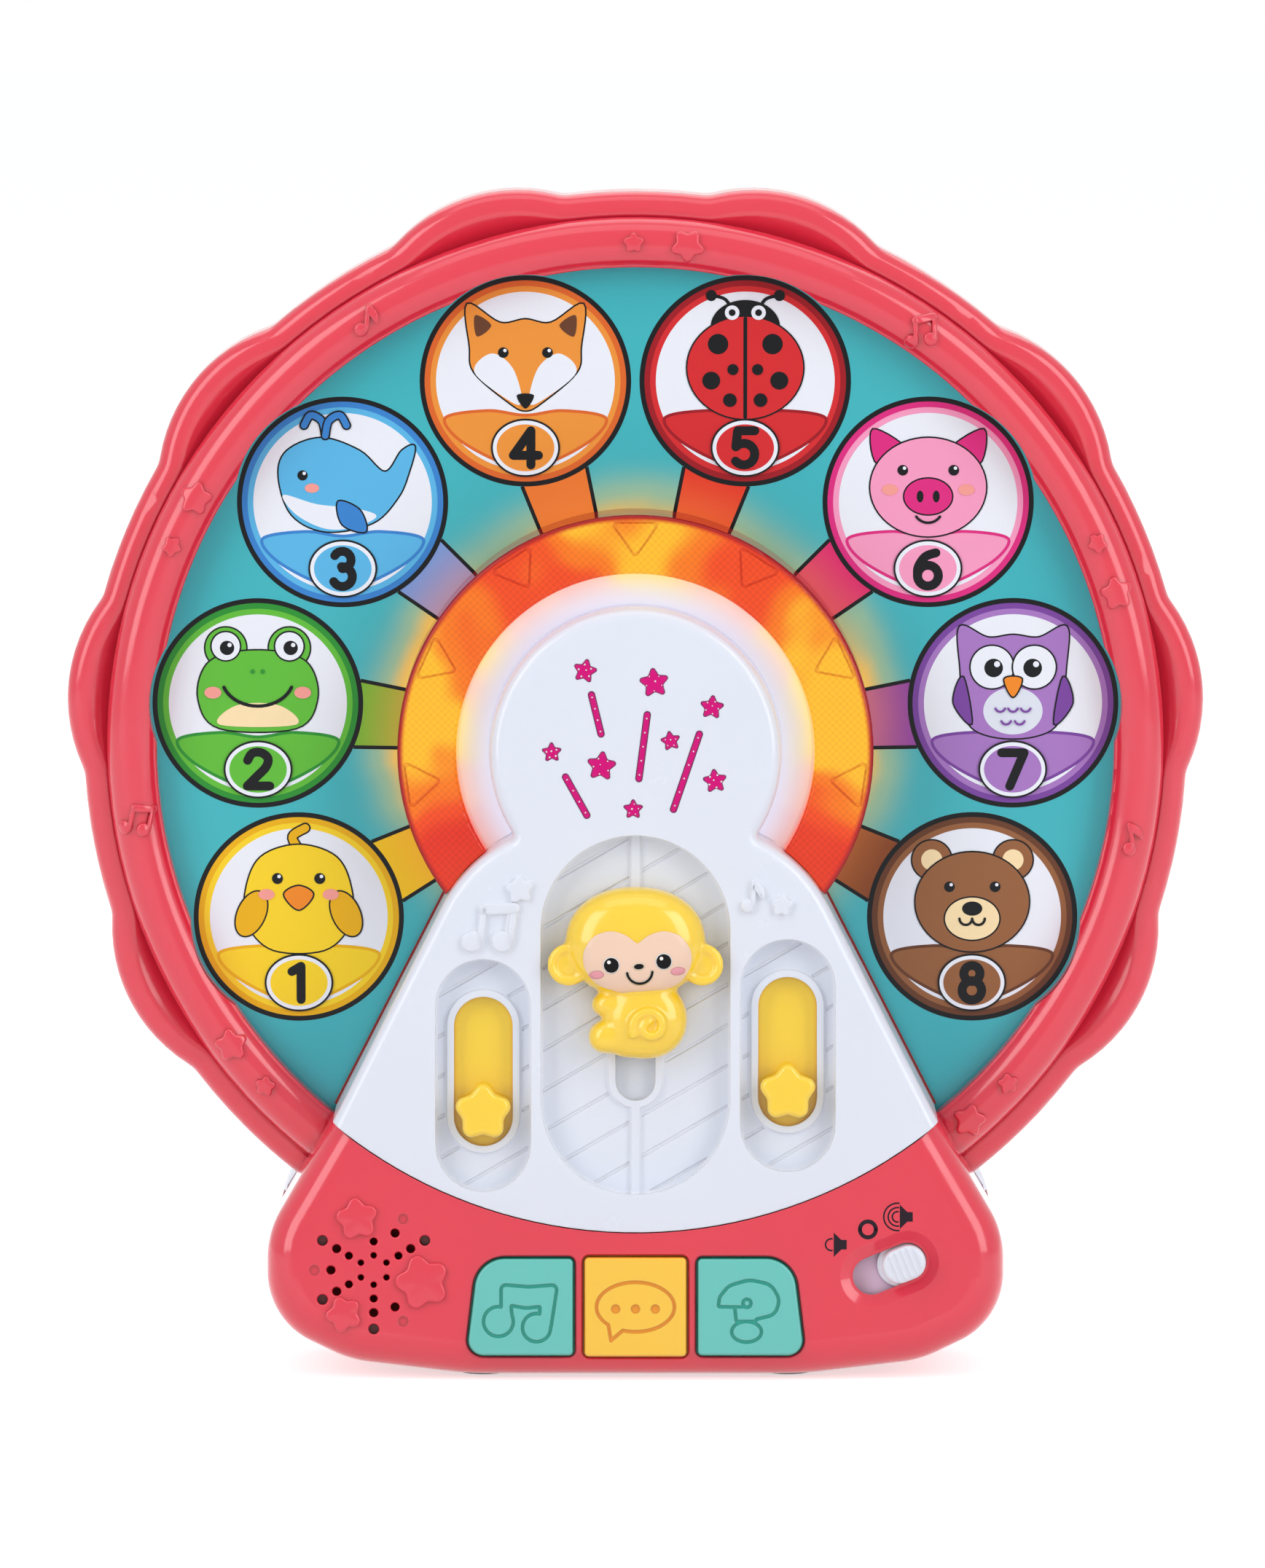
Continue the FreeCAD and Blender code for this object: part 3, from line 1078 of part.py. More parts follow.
def make_feet():
    """rubber pads that fill the room between the rounded underside and the surface"""
    feet = []
    for side in (-1, 1):
        for depth, outline in ((s.foot_pad_front, base_outline()), (-s.foot_pad_rear, rear_outline())):
            foot = Vector(side * s.foot_pad_spread, -s.wheel_centre_height, depth)
            pad = Part.makeCylinder(s.foot_pad_radius, 6, foot, Vector(0, 1, 0))
            feet.append(pad.cut(plate(outline, -s.base_back, s.face_height + 10)))
    free_form("rubber_feet", Part.makeCompound(feet), "wheel")


# ---------------------------------------------------------------- buttons


def make_button(name, corners, icon):
    top = s.button_proud
    cap = plate(rounded_outline(corners), -s.button_depth, top)
    crown = edges_where(cap, lambda point: abs(point.z - top) < 1e-6)
    cap = cap.makeFillet(0.8, crown)
    wall = s.button_wall
    hollow = Part.Face(rounded_outline(corners)).OuterWire.makeOffset2D(-wall)
    flange = rounded_outline(corners).makeOffset2D(s.button_flange)
    skirt_top = -s.base_front_wall - 0.3
    cap = cap.fuse(plate(flange, -s.button_depth, skirt_top))
    cap = cap.cut(plate(hollow, -s.button_depth - 1, top - wall - 0.6))
    stud_x = sum(x for x, y, radius in corners) / 4
    cap = cap.fuse(disc(2.4, -s.button_depth, top - wall, stud_x, -s.button_drop)).removeSplitter()
    cap = cap.cut(icon)
    free_form(f"{name}_button", cap, "face")
    return stud_x


def outline_groove(solid, low, high, width):
    """groove along the outline of a flat figure"""
    flat = max((f for f in solid.Faces if abs(f.normalAt(0, 0).z) > 0.9), key=lambda f: f.CenterOfMass.z)
    wire = flat.OuterWire.copy()
    wire.translate(Vector(0, 0, low - flat.CenterOfMass.z))
    outer = Part.Face(wire.makeOffset2D(width / 2))
    inner = Part.Face(wire.makeOffset2D(-width / 2))
    return outer.cut(inner).extrude(Vector(0, 0, high - low))


def moved(corners, x, y):
    return rounded_outline([(a + x, b + y, radius) for a, b, radius in corners])


def oval_groove(x, y, half_width, half_height, low, high, width, tail=None):
    """groove along an oval, or along an oval with a pointed tail"""
    layers = []
    for grow in (width / 2, -width / 2):
        oval = Part.Ellipse(Vector(x, y, 0), half_width + grow, half_height + grow).toShape()
        layer = plate(Part.Wire([oval]), low, high)
        layers.append(layer.fuse(plate(tail.makeOffset2D(grow), low, high)) if tail else layer)
    return layers[0].cut(layers[1])


def button_icons():
    low, high, width = s.button_proud - 0.45, s.button_proud + 1, 0.9
    left, right, drop = -s.button_spread, s.button_spread, -s.button_drop
    stems = [(-4.9, -3.4, 0), (-4.9, 5.9, 1.3), (2.4, 5.3, 8), (9.9, 5.9, 1.3), (8.2, -5.2, 0),
             (5.0, -5.2, 0), (5.3, 0.1, 0.3), (1.6, -0.3, 6), (-2.3, 0.4, 0.3), (-1.9, -3.4, 0)]
    note = fused([plate(moved(stems, left, drop), 0, 1), disc(3.9, 0, 1, left - 5.6, drop - 3.8),
                  disc(3.7, 0, 1, left + 4.4, drop - 5.4)]).removeSplitter()
    music = outline_groove(note, low, high, width)
    tail = rounded_outline([(-7.4, drop - 3.0, 0), (-2.2, drop - 5.2, 0), (-6.4, drop - 8.8, 0)])
    speech = oval_groove(0, drop, 10.2, 6.5, low, high, width, tail)
    dots = [disc(1.2, low, high, x, drop - 0.5) for x in (-5.2, 0, 5.2)]
    hook = [(-8.6, 0.1, 0.4), (-8.3, 2.6, 2.5), (-5.9, 5.6, 5), (-0.4, 7.2, 7), (5.2, 5.9, 4), (7.6, 1.9, 4),
            (6.2, -2.0, 3), (1.4, -3.2, 0.4), (1.2, -3.8, 0.3), (-3.9, -3.8, 0.5), (-4.3, 0.0, 0.2)]
    question = [outline_groove(plate(moved(hook, right, drop), 0, 1), low, high, width),
                block(right - 4.4, right - 1.6, drop - 0.35, drop + 0.45, low, high),
                tube(1.5, 0.6, low, high, right - 1.1, drop + 1.0),
                oval_groove(right - 1.2, drop - 6.5, 3.9, 2.7, low, high, width)]
    return {"music": music, "speech": fused([speech] + dots), "question": fused(question)}


def make_buttons():
    icons = button_icons()
    for name, corners in window().items():
        x = make_button(name, corners, icons[name])
        low, high = "-button_depth - dome_height", "-button_depth - board_gap"
        profile = [("0", low), ("5", low), ("4.2", low + " + 1"), ("2.2", high), ("0", high)]
        turned(f"{name}_dome", profile, "face", f"{x:.3f}", "-button_drop")


# ---------------------------------------------------------------- boards, speaker, switch


def make_main_board():
    top = "-button_depth - dome_height"
    board = rectangle("board_half_width", "board_half_height", "0", "-button_drop")
    padded("main_board", board, top + " - board_thickness", top, "face", corner_radius="2")
    chips = []
    for number, (x, rise, half) in enumerate([(-14, 7.6, 4), (15, -6.4, 3), (38, 4.6, 2.4)]):
        outline = rectangle(str(half), str(half), str(x), f"(-button_drop + {rise})")
        chips.append(padded(f"chip_{number}", outline, top + " - board_thickness - 1.4",
                            top + " - board_thickness", "face", keep=False))
    group("board_chips", chips)


def make_slider_board():
    top = "-track_depth - tower_wall - slider_gap - keeper_thickness - wiper_room"
    low = top + " - board_thickness"
    board = rectangle("side_track_spread + 0.6", "side_track_half_length - 4.5", "0", "-left_track_drop")
    padded("slider_board", board, low, top, "face", corner_radius="3")


def make_speaker():
    x, y = "-speaker_spread", "-speaker_drop"
    front = "-base_front_wall - 0.3"
    back = f"{front} - speaker_depth"
    lip, cone_edge = "speaker_radius - 3", "speaker_radius - 3.2"
    basket = [(lip, front), ("speaker_radius", front), ("speaker_radius", f"{front} - 2"), ("10", back),
              ("6", back), ("6", f"{back} + 1.5"), ("9.4", f"{back} + 1.5"), (lip, f"{front} - 1.6")]
    cone = [("0", f"{back} + 6"), ("5", f"{back} + 6"), (cone_edge, f"{front} - 1.2"),
            (cone_edge, f"{front} - 0.6"), ("4.6", f"{back} + 7"), ("0", f"{back} + 8")]
    magnet = [("0", f"{back} - 6"), ("10", f"{back} - 6"), ("10", back), ("5.4", back),
              ("5.4", f"{back} + 5.6"), ("0", f"{back} + 5.6")]
    for label, profile in (("speaker_frame", basket), ("speaker_cone", cone), ("speaker_magnet", magnet)):
        turned(label, profile, "face", x, y)


def make_switch():
    shift = s.switch_travel / 2
    top = s.knob_proud
    knob = switch_shape(s.knob_half_length, s.knob_half_width, -2.0, top, shift)
    crown = edges_where(knob, lambda point: abs(point.z - top) < 1e-6)
    knob = knob.makeFillet(1.2, crown)
    ridges = []
    for number in range(-2, 3):
        ridge = block(-0.35, 0.35, -7, 7, top - 0.3, top + 1)
        ridge.translate(Vector(number * 1.7 + shift, 0, 0))
        ridge.rotate(Vector(0, 0, 0), Vector(0, 0, 1), s.switch_angle)
        ridge.translate(Vector(s.switch_spread, -s.switch_drop, 0))
        ridges.append(ridge)
    foot = switch_shape(s.knob_half_length + 1.2, s.knob_half_width + 1.4, -s.base_front_wall - 1.8,
                        -s.base_front_wall - 0.3, shift)
    neck = switch_shape(s.knob_half_length, s.knob_half_width, -s.base_front_wall - 0.4, -1.5, shift)
    knob = knob.cut(fused(ridges)).multiFuse([foot, neck]).removeSplitter()
    free_form("volume_knob", knob, "face")
    body_top = -s.base_front_wall - 2.1
    body = switch_shape(13.0, 6.2, body_top - 6, body_top)
    free_form("volume_switch", body, "face")


# ---------------------------------------------------------------- power


def make_power():
    depth = -s.base_back + s.door_thickness + 0.6 + s.cell_radius
    cells = []
    for number in (-1, 0, 1):
        y = -s.cell_drop + number * s.cell_pitch
        along, end = Vector(1, 0, 0), s.cell_length / 2
        barrel = Part.makeCylinder(s.cell_radius, s.cell_length - 1, Vector(-end, y, depth), along)
        cap = Part.makeCylinder(2.7, 1.0, Vector(end - 1, y, depth), along)
        cell = barrel.fuse(cap)
        if number == 0:
            cell.rotate(Vector(0, y, depth), Vector(0, 0, 1), 180)
        cells.append(cell)
    free_form("battery_cells", Part.makeCompound(cells), "wheel")
    contacts = []
    for side in (-1, 1):
        for number in (-1, 0, 1):
            y = -s.cell_drop + number * s.cell_pitch
            inner, outer = s.cell_length / 2 + 0.3, s.door_half_width - 2
            low, high = (inner, outer) if side > 0 else (-outer, -inner)
            contacts.append(block(low, high, y - 5, y + 5, depth - 4, depth + 4).cut(
                block(low - 1, high + 1, y - 3.6, y + 3.6, depth - 5, depth + 1)))
    free_form("battery_contacts", Part.makeCompound(contacts), "wheel")
    half_width, half_height = s.door_half_width, s.door_half_height
    outer = rounded_outline([(a * half_width, -s.cell_drop + b * half_height, 2.5)
                             for a, b in ((1, 1), (1, -1), (-1, -1), (-1, 1))])
    door = plate(outer, -s.base_back, -s.base_back + s.door_thickness)
    grip = [block(-9, 9, -s.cell_drop - 20 + 2.4 * n, -s.cell_drop - 18.8 + 2.4 * n, -s.base_back - 0.01,
                  -s.base_back + 0.7) for n in range(4)]
    x, y = door_screw_spot()
    door = door.cut(fused(grip + [disc(1.7, -60, 0, x, y), disc(3.0, -60, -s.base_back + 1.2, x, y)]))
    free_form("battery_door", door, "wheel")
    screw = disc(2.7, -s.base_back + 0.2, -s.base_back + 1.2, x, y).fuse(
        disc(1.2, -s.base_back + 1.2, -s.base_back + 9, x, y))
    free_form("door_screw", screw, "wheel")


def door_screw_spot():
    return 0.0, -s.cell_drop + s.door_half_height - 3.6


# ---------------------------------------------------------------- rollers and their sensor


def sensor_spot():
    return polar(roller_track - s.roller_radius - 5.2, s.roller_angle)


def make_rollers():
    bore = "roller_pin_radius + 0.05"
    low, high = "-roller_half_width", "roller_half_width"
    for number in range(4):
        angle = f"(roller_angle + {90 * number})"
        track = "(rim_bore_radius - roller_gap - roller_radius)"
        turned(f"guide_roller_{number + 1}",
               [(bore, low), ("roller_radius - 0.6", low), ("roller_radius", low + " + 0.6"),
                ("roller_radius", high + " - 0.6"), ("roller_radius - 0.6", high), (bore, high)],
               "wheel", f"{track} * cos({angle})", f"{track} * sin({angle})")
    low = -s.roller_half_width - 2.2
    wheel = tube(s.roller_radius - 0.5, s.roller_pin_radius + 0.05, low, -s.roller_half_width)
    teeth = []
    for number in range(8):
        notch = block(3.6, 6, -0.7, 0.7, low - 1, 0)
        notch.rotate(Vector(0, 0, 0), Vector(0, 0, 1), 45 * number)
        teeth.append(notch)
    wheel = wheel.cut(fused(teeth))
    wheel.translate(polar(roller_track, s.roller_angle))
    free_form("encoder_wheel", wheel, "wheel")
    sensor = block(-3, 7.0, -3, 3, -9.5, low - 0.5)
    sensor.rotate(Vector(0, 0, 0), Vector(0, 0, 1), s.roller_angle)
    sensor.translate(sensor_spot())
    free_form("encoder_sensor", sensor, "wheel")


# ---------------------------------------------------------------- build

make_rim()
make_back_cover()
make_bezel()
make_panel()
make_light_ring()
make_halo()
make_led_board()
make_tower()
make_star_lens()
make_monkey()
make_star_slider("left", -1)
make_star_slider("right", 1)
make_base_front()
make_base_rear()
make_feet()
make_buttons()
make_main_board()
make_slider_board()
make_speaker()
make_switch()
make_power()
make_rollers()
doc.recompute()

for thing in doc.Objects:
    if "Invalid" in thing.State or "Error" in thing.State:
        raise RuntimeError(f"{thing.Label} did not build: {thing.State}")
for thing in nodes:
    if thing.Shape.isNull() or not thing.Shape.isValid():
        raise RuntimeError(f"{thing.Label} has no valid shape")
    if not thing.Shape.Solids:
        raise RuntimeError(f"{thing.Label} holds no solid")

os.makedirs("parts", exist_ok=True)
for thing in nodes:
    thing.Shape.exportStep(f"parts/{thing.Label}.step")
    box = thing.Shape.BoundBox
    print(f"{thing.Label}: {len(thing.Shape.Solids)} solids, {thing.Shape.Volume / 1000:.1f} cm3, "
          f"{box.XLength:.1f} x {box.YLength:.1f} x {box.ZLength:.1f}")
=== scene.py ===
import json
import math

import bmesh
import bpy
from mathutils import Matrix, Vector


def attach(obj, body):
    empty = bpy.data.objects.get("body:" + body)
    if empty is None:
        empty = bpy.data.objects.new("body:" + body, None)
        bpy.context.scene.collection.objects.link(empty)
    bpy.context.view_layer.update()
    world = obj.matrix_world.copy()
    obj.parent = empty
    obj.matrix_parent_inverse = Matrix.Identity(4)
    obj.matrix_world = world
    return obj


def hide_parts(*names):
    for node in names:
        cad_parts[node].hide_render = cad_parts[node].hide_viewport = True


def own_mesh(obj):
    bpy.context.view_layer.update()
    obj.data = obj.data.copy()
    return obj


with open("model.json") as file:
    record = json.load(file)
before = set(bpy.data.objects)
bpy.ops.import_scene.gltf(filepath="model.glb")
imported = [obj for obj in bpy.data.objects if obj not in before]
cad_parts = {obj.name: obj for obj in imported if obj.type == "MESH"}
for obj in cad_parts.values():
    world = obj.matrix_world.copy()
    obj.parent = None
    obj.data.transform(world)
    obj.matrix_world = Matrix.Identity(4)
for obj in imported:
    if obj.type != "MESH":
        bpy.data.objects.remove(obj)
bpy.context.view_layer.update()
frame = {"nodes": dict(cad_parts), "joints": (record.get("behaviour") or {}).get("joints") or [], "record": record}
nodes = frame["nodes"]
joints = {joint["name"]: joint for joint in frame["joints"]}

# two drawing planes, both in millimetres: the wheel's own plane, and the tower's leaning face
wheelCentre = Vector(joints["rim_spin"]["pos_m"])
faceUp = Vector(joints["monkey_slide"]["axis"])
faceOut = Vector((0, -faceUp.z, faceUp.y))
faceOrigin = Vector((0, -0.036, wheelCentre.z))


def onWheel(x, y, z=0.0):
    return wheelCentre + Vector((x, -z, y)) / 1000


def onFace(x, y, z=0.0):
    return faceOrigin + (Vector((x, 0, 0)) + faceUp * y + faceOut * z) / 1000


def polar(radius, degrees, centre=(0.0, 0.0)):
    turn = math.radians(degrees)
    return centre[0] + radius * math.cos(turn), centre[1] + radius * math.sin(turn)


# screen colours, 0 to 255, as the plastic shows them
def paint(*screen):
    steps = [c / 255 for c in screen]
    return tuple(c / 12.92 if c <= 0.04045 else ((c + 0.055) / 1.055) ** 2.4 for c in steps) + (1.0,)


# shader groups

def newGroup(name, inputs, outputs):
    group = bpy.data.node_groups.new(name, "ShaderNodeTree")
    for label, kind, value in inputs:
        socket = group.interface.new_socket(label, in_out="INPUT", socket_type="NodeSocket" + kind)
        socket.default_value = value
    for label, kind in outputs:
        group.interface.new_socket(label, in_out="OUTPUT", socket_type="NodeSocket" + kind)
    enter = group.nodes.new("NodeGroupInput")
    leave = group.nodes.new("NodeGroupOutput")
    return group, enter.outputs, leave.inputs


def addNode(tree, kind, links=None, **settings):
    node = tree.nodes.new("ShaderNode" + kind)
    for label, value in settings.items():
        setattr(node, label, value)
    for socket, source in (links or {}).items():
        target = node.inputs[socket]
        if isinstance(source, bpy.types.NodeSocket):
            tree.links.new(source, target)
        else:
            target.default_value = source
    return node


def doMath(tree, operation, first, second=0.0, clamp=False):
    return addNode(tree, "Math", {0: first, 1: second}, operation=operation, use_clamp=clamp).outputs[0]


def times(tree, first, second, clamp=False):
    return doMath(tree, "MULTIPLY", first, second, clamp)


def plus(tree, first, second):
    return doMath(tree, "ADD", first, second)


def minus(tree, first, second, clamp=False):
    return doMath(tree, "SUBTRACT", first, second, clamp)


def blendColour(tree, factor, first, second, kind="MIX"):
    node = addNode(tree, "Mix", {0: factor, 6: first, 7: second}, data_type="RGBA", blend_type=kind)
    return node.outputs[2]


def mapRange(tree, value, low, high, newLow=0.0, newHigh=1.0):
    return addNode(tree, "MapRange", {"Value": value, "From Min": low, "From Max": high, "To Min": newLow,
                                      "To Max": newHigh}).outputs[0]


def addNoise(tree, where, scale, detail, roughness=0.5):
    return addNode(tree, "TexNoise", {"Vector": where, "Scale": scale, "Detail": detail,
                                      "Roughness": roughness}).outputs["Fac"]


def scaleValue(tree, colour, value):
    return addNode(tree, "HueSaturation", {"Value": value, "Color": colour}).outputs[0]


def ramp(tree, factor, stops):
    node = addNode(tree, "ValToRGB", {0: factor})
    node.color_ramp.interpolation = "EASE"
    elements = node.color_ramp.elements
    for index, (place, colour) in enumerate(stops):
        element = elements[index] if index < 2 else elements.new(place)
        element.position = place
        element.color = colour
    return node.outputs[0]


def grey(value):
    return (value, value, value, 1)


# where a point lies: itself, across and above the wheel's axis, and its distance from the axis
def aroundWheel(tree):
    where = addNode(tree, "TexCoord").outputs["Object"]
    centred = addNode(tree, "VectorMath", {0: where, 1: tuple(wheelCentre)}, operation="SUBTRACT").outputs[0]
    split = addNode(tree, "SeparateXYZ", {0: centred})
    across, rise = split.outputs["X"], split.outputs["Z"]
    flat = addNode(tree, "CombineXYZ", {"X": across, "Y": rise}).outputs[0]
    radius = addNode(tree, "VectorMath", {0: flat}, operation="LENGTH").outputs["Value"]
    return where, across, rise, radius


# moulded plastic: a fine orange-peel skin, faint flow variation, painted shade in grooves and gaps (painted light
# instead where the hollow shading colour is paler than the plastic), and edges that are rubbed a little paler
skinLook = {"edgeGain": 7.0, "scuffScale": 420.0, "scuffGain": 1.4, "flowScale": 26.0, "openFrom": 0.88,
            "smearScale": 90.0, "smearRange": (0.35, 0.75), "peelStrength": 0.5}


def makeMouldedSkin():
    look = skinLook
    group, given, result = newGroup(
        "mouldedSkin",
        [("Colour", "Color", (0.8, 0.8, 0.8, 1)), ("Edge Colour", "Color", (1, 1, 1, 1)),
         ("Cavity Colour", "Color", (0.3, 0.3, 0.3, 1)), ("Cavity Reach", "Float", 0.0014),
         ("Cavity Limit", "Float", 0.35), ("Edge Width", "Float", 0.0005), ("Edge Wear", "Float", 0.3),
         ("Flow", "Float", 0.04), ("Peel Scale", "Float", 700.0), ("Peel Depth", "Float", 0.00001),
         ("Low Roughness", "Float", 0.16), ("High Roughness", "Float", 0.3)],
        [("Colour", "Color"), ("Roughness", "Float"), ("Normal", "Vector")])
    where = addNode(group, "TexCoord").outputs["Object"]
    rounded = addNode(group, "Bevel", {"Radius": given["Edge Width"]}, samples=6).outputs[0]
    flat = addNode(group, "NewGeometry").outputs["Normal"]
    facing = addNode(group, "VectorMath", {0: rounded, 1: flat}, operation="DOT_PRODUCT").outputs["Value"]
    edge = times(group, minus(group, 1.0, facing), look["edgeGain"], clamp=True)
    scuffs = times(group, addNoise(group, where, look["scuffScale"], 4.0), look["scuffGain"])
    worn = times(group, times(group, edge, scuffs, clamp=True), given["Edge Wear"])
    clouds = addNoise(group, where, look["flowScale"], 2.0)
    drift = times(group, minus(group, clouds, 0.5), given["Flow"])
    shifted = scaleValue(group, given["Colour"], plus(group, drift, 1.0))
    # painted shade: where the ambient occlusion finds a hollow, the colour goes over to the hollow shading colour
    opened = addNode(group, "AmbientOcclusion", {"Distance": given["Cavity Reach"]}, samples=6).outputs["AO"]
    closed = mapRange(group, opened, look["openFrom"], given["Cavity Limit"])
    deep = blendColour(group, closed, shifted, given["Cavity Colour"])
    group.links.new(blendColour(group, worn, deep, given["Edge Colour"]), result["Colour"])
    smear = addNoise(group, where, look["smearScale"], 5.0, 0.65)
    shine = mapRange(group, smear, *look["smearRange"], given["Low Roughness"], given["High Roughness"])
    group.links.new(shine, result["Roughness"])
    peel = addNoise(group, where, given["Peel Scale"], 2.0)
    bump = addNode(group, "Bump", {"Strength": look["peelStrength"], "Distance": given["Peel Depth"],
                                   "Height": peel, "Normal": rounded})
    group.links.new(bump.outputs[0], result["Normal"])
    return group


# light that leaks from the lamps behind the orange ring: 0 away from it, 1 beside it. The patches follow the
# angle from the top, from 0 there to 1 at the bottom
glowLook = {
    "patches": [(0.0, 0.72), (0.08, 0.66), (0.14, 0.38), (0.21, 0.2), (0.28, 0.5), (0.34, 0.86), (0.5, 0.9),
                (0.57, 0.46), (0.64, 0.08), (1.0, 0.02)],
    "blotchScale": 60.0, "blotchGain": 1.9, "blotchBase": 0.05, "fallPower": 1.8, "dotPitch": 0.0019,
}


def makeLampGlow():
    look = glowLook
    group, given, result = newGroup(
        "lampGlow",
        [("Start Radius", "Float", 0.061), ("Reach", "Float", 0.016), ("Unevenness", "Float", 0.5)],
        [("Glow", "Float"), ("Patch", "Float"), ("Grain", "Float")])
    where, across, rise, radius = aroundWheel(group)
    turned = doMath(group, "ABSOLUTE", doMath(group, "ARCTAN2", across, rise))
    fromTop = doMath(group, "DIVIDE", turned, math.pi)
    pattern = ramp(group, fromTop, [(place, grey(value)) for place, value in look["patches"]])
    blotch = times(group, addNoise(group, where, look["blotchScale"], 0.5), look["blotchGain"])
    patch = times(group, pattern, plus(group, blotch, look["blotchBase"]), clamp=True)
    group.links.new(patch, result["Patch"])
    past = doMath(group, "DIVIDE", minus(group, radius, given["Start Radius"]), given["Reach"])
    fall = doMath(group, "POWER", minus(group, 1.0, past, clamp=True), look["fallPower"])
    uneven = times(group, minus(group, 1.0, patch), given["Unevenness"])
    group.links.new(times(group, fall, minus(group, 1.0, uneven)), result["Glow"])
    turns = math.tau / look["dotPitch"]
    waves = [doMath(group, "SINE", times(group, side, turns)) for side in (across, rise)]
    grain = plus(group, times(group, times(group, *waves), 0.5), 0.5)
    group.links.new(grain, result["Grain"])
    return group


# printed film: a faint screen of ink dots, set at 15 degrees, under a clear glossy coat
filmLook = {"screenAxes": ((0.966, 0.259), (-0.259, 0.966)), "smearScale": 70.0, "smearRange": (0.3, 0.7),
            "rippleScale": 35.0, "rippleStrength": 0.3, "rippleDepth": 0.0002}


def makePrintedFilm():
    look = filmLook
    group, given, result = newGroup(
        "printedFilm",
        [("Colour", "Color", (0.8, 0.8, 0.8, 1)), ("Screen Pitch", "Float", 0.0009),
         ("Screen Depth", "Float", 0.02), ("Low Roughness", "Float", 0.12),
         ("High Roughness", "Float", 0.22)],
        [("Colour", "Color"), ("Roughness", "Float"), ("Normal", "Vector")])
    where = addNode(group, "TexCoord").outputs["Object"]
    split = addNode(group, "SeparateXYZ", {0: where})
    waves = []
    for first, second in look["screenAxes"]:
        along = plus(group, times(group, split.outputs["X"], first), times(group, split.outputs["Z"], second))
        turns = times(group, doMath(group, "DIVIDE", along, given["Screen Pitch"]), math.tau)
        waves.append(doMath(group, "SINE", turns))
    dots = times(group, times(group, waves[0], waves[1]), given["Screen Depth"])
    group.links.new(scaleValue(group, given["Colour"], plus(group, dots, 1.0)), result["Colour"])
    smear = addNoise(group, where, look["smearScale"], 4.0)
    shine = mapRange(group, smear, *look["smearRange"], given["Low Roughness"], given["High Roughness"])
    group.links.new(shine, result["Roughness"])
    ripple = addNoise(group, where, look["rippleScale"], 1.0)
    bump = addNode(group, "Bump", {"Strength": look["rippleStrength"], "Distance": look["rippleDepth"],
                                   "Height": ripple})
    group.links.new(bump.outputs[0], result["Normal"])
    return group


mouldedSkin = makeMouldedSkin()
lampGlow = makeLampGlow()
printedFilm = makePrintedFilm()
print("shader groups:", len(bpy.data.node_groups))


# materials

def newMaterial(name, constants):
    material = bpy.data.materials.new(name)
    material.use_nodes = True
    tree = material.node_tree
    tree.nodes.clear()
    shader = tree.nodes.new("ShaderNodeBsdfPrincipled")
    output = tree.nodes.new("ShaderNodeOutputMaterial")
    tree.links.new(shader.outputs[0], output.inputs[0])
    for label, value in constants.items():
        shader.inputs[label].default_value = value
    return material, tree, shader.inputs


def placeGroup(tree, group, **values):
    node = tree.nodes.new("ShaderNodeGroup")
    node.node_tree = group
    for label, value in values.items():
        node.inputs[label.replace("_", " ")].default_value = value
    return node


# a group's roughness and normal, with its own colour or another
def linkSkin(tree, shader, skin, colour=None):
    tree.links.new(colour or skin.outputs["Colour"], shader["Base Color"])
    tree.links.new(skin.outputs["Roughness"], shader["Roughness"])
    tree.links.new(skin.outputs["Normal"], shader["Normal"])


# plastics and metals: a colour for the painted shade in hollows, or an edge colour, that isn't given follows from
# these values
plasticLook = {"coatRoughness": 0.08, "cavityShare": 0.35, "edgeGrey": 0.9, "softScale": 0.003}


def plastic(name, colour, edge=None, hollowShading=None, wear=0.25, shine=(0.16, 0.3), peel=0.00002, soft=0.0,
            coat=0.0, limit=0.35, gloss=0.5, metallic=0.0):
    look = plasticLook
    material, tree, shader = newMaterial(name, {
        "IOR": 1.5, "Specular IOR Level": gloss, "Coat Weight": coat, "Coat Roughness": look["coatRoughness"],
        "Metallic": metallic, "Subsurface Weight": soft})
    colour = paint(*colour)
    edge = paint(*edge) if edge else grey(look["edgeGrey"])
    hollowShading = paint(*hollowShading) if hollowShading else tuple(c * look["cavityShare"] for c in colour[:3]) + (1,)
    linkSkin(tree, shader, placeGroup(
        tree, mouldedSkin, Colour=colour, Edge_Colour=edge, Cavity_Colour=hollowShading, Edge_Wear=wear,
        Cavity_Limit=limit, Peel_Depth=peel, Low_Roughness=shine[0], High_Roughness=shine[1]))
    if soft:
        shader["Subsurface Radius"].default_value = colour[:3]
        shader["Subsurface Scale"].default_value = look["softScale"]
    return material


def metal(name, colour):
    return plastic(name, colour, wear=0.4, shine=(0.25, 0.45), peel=0.00004, metallic=1.0)


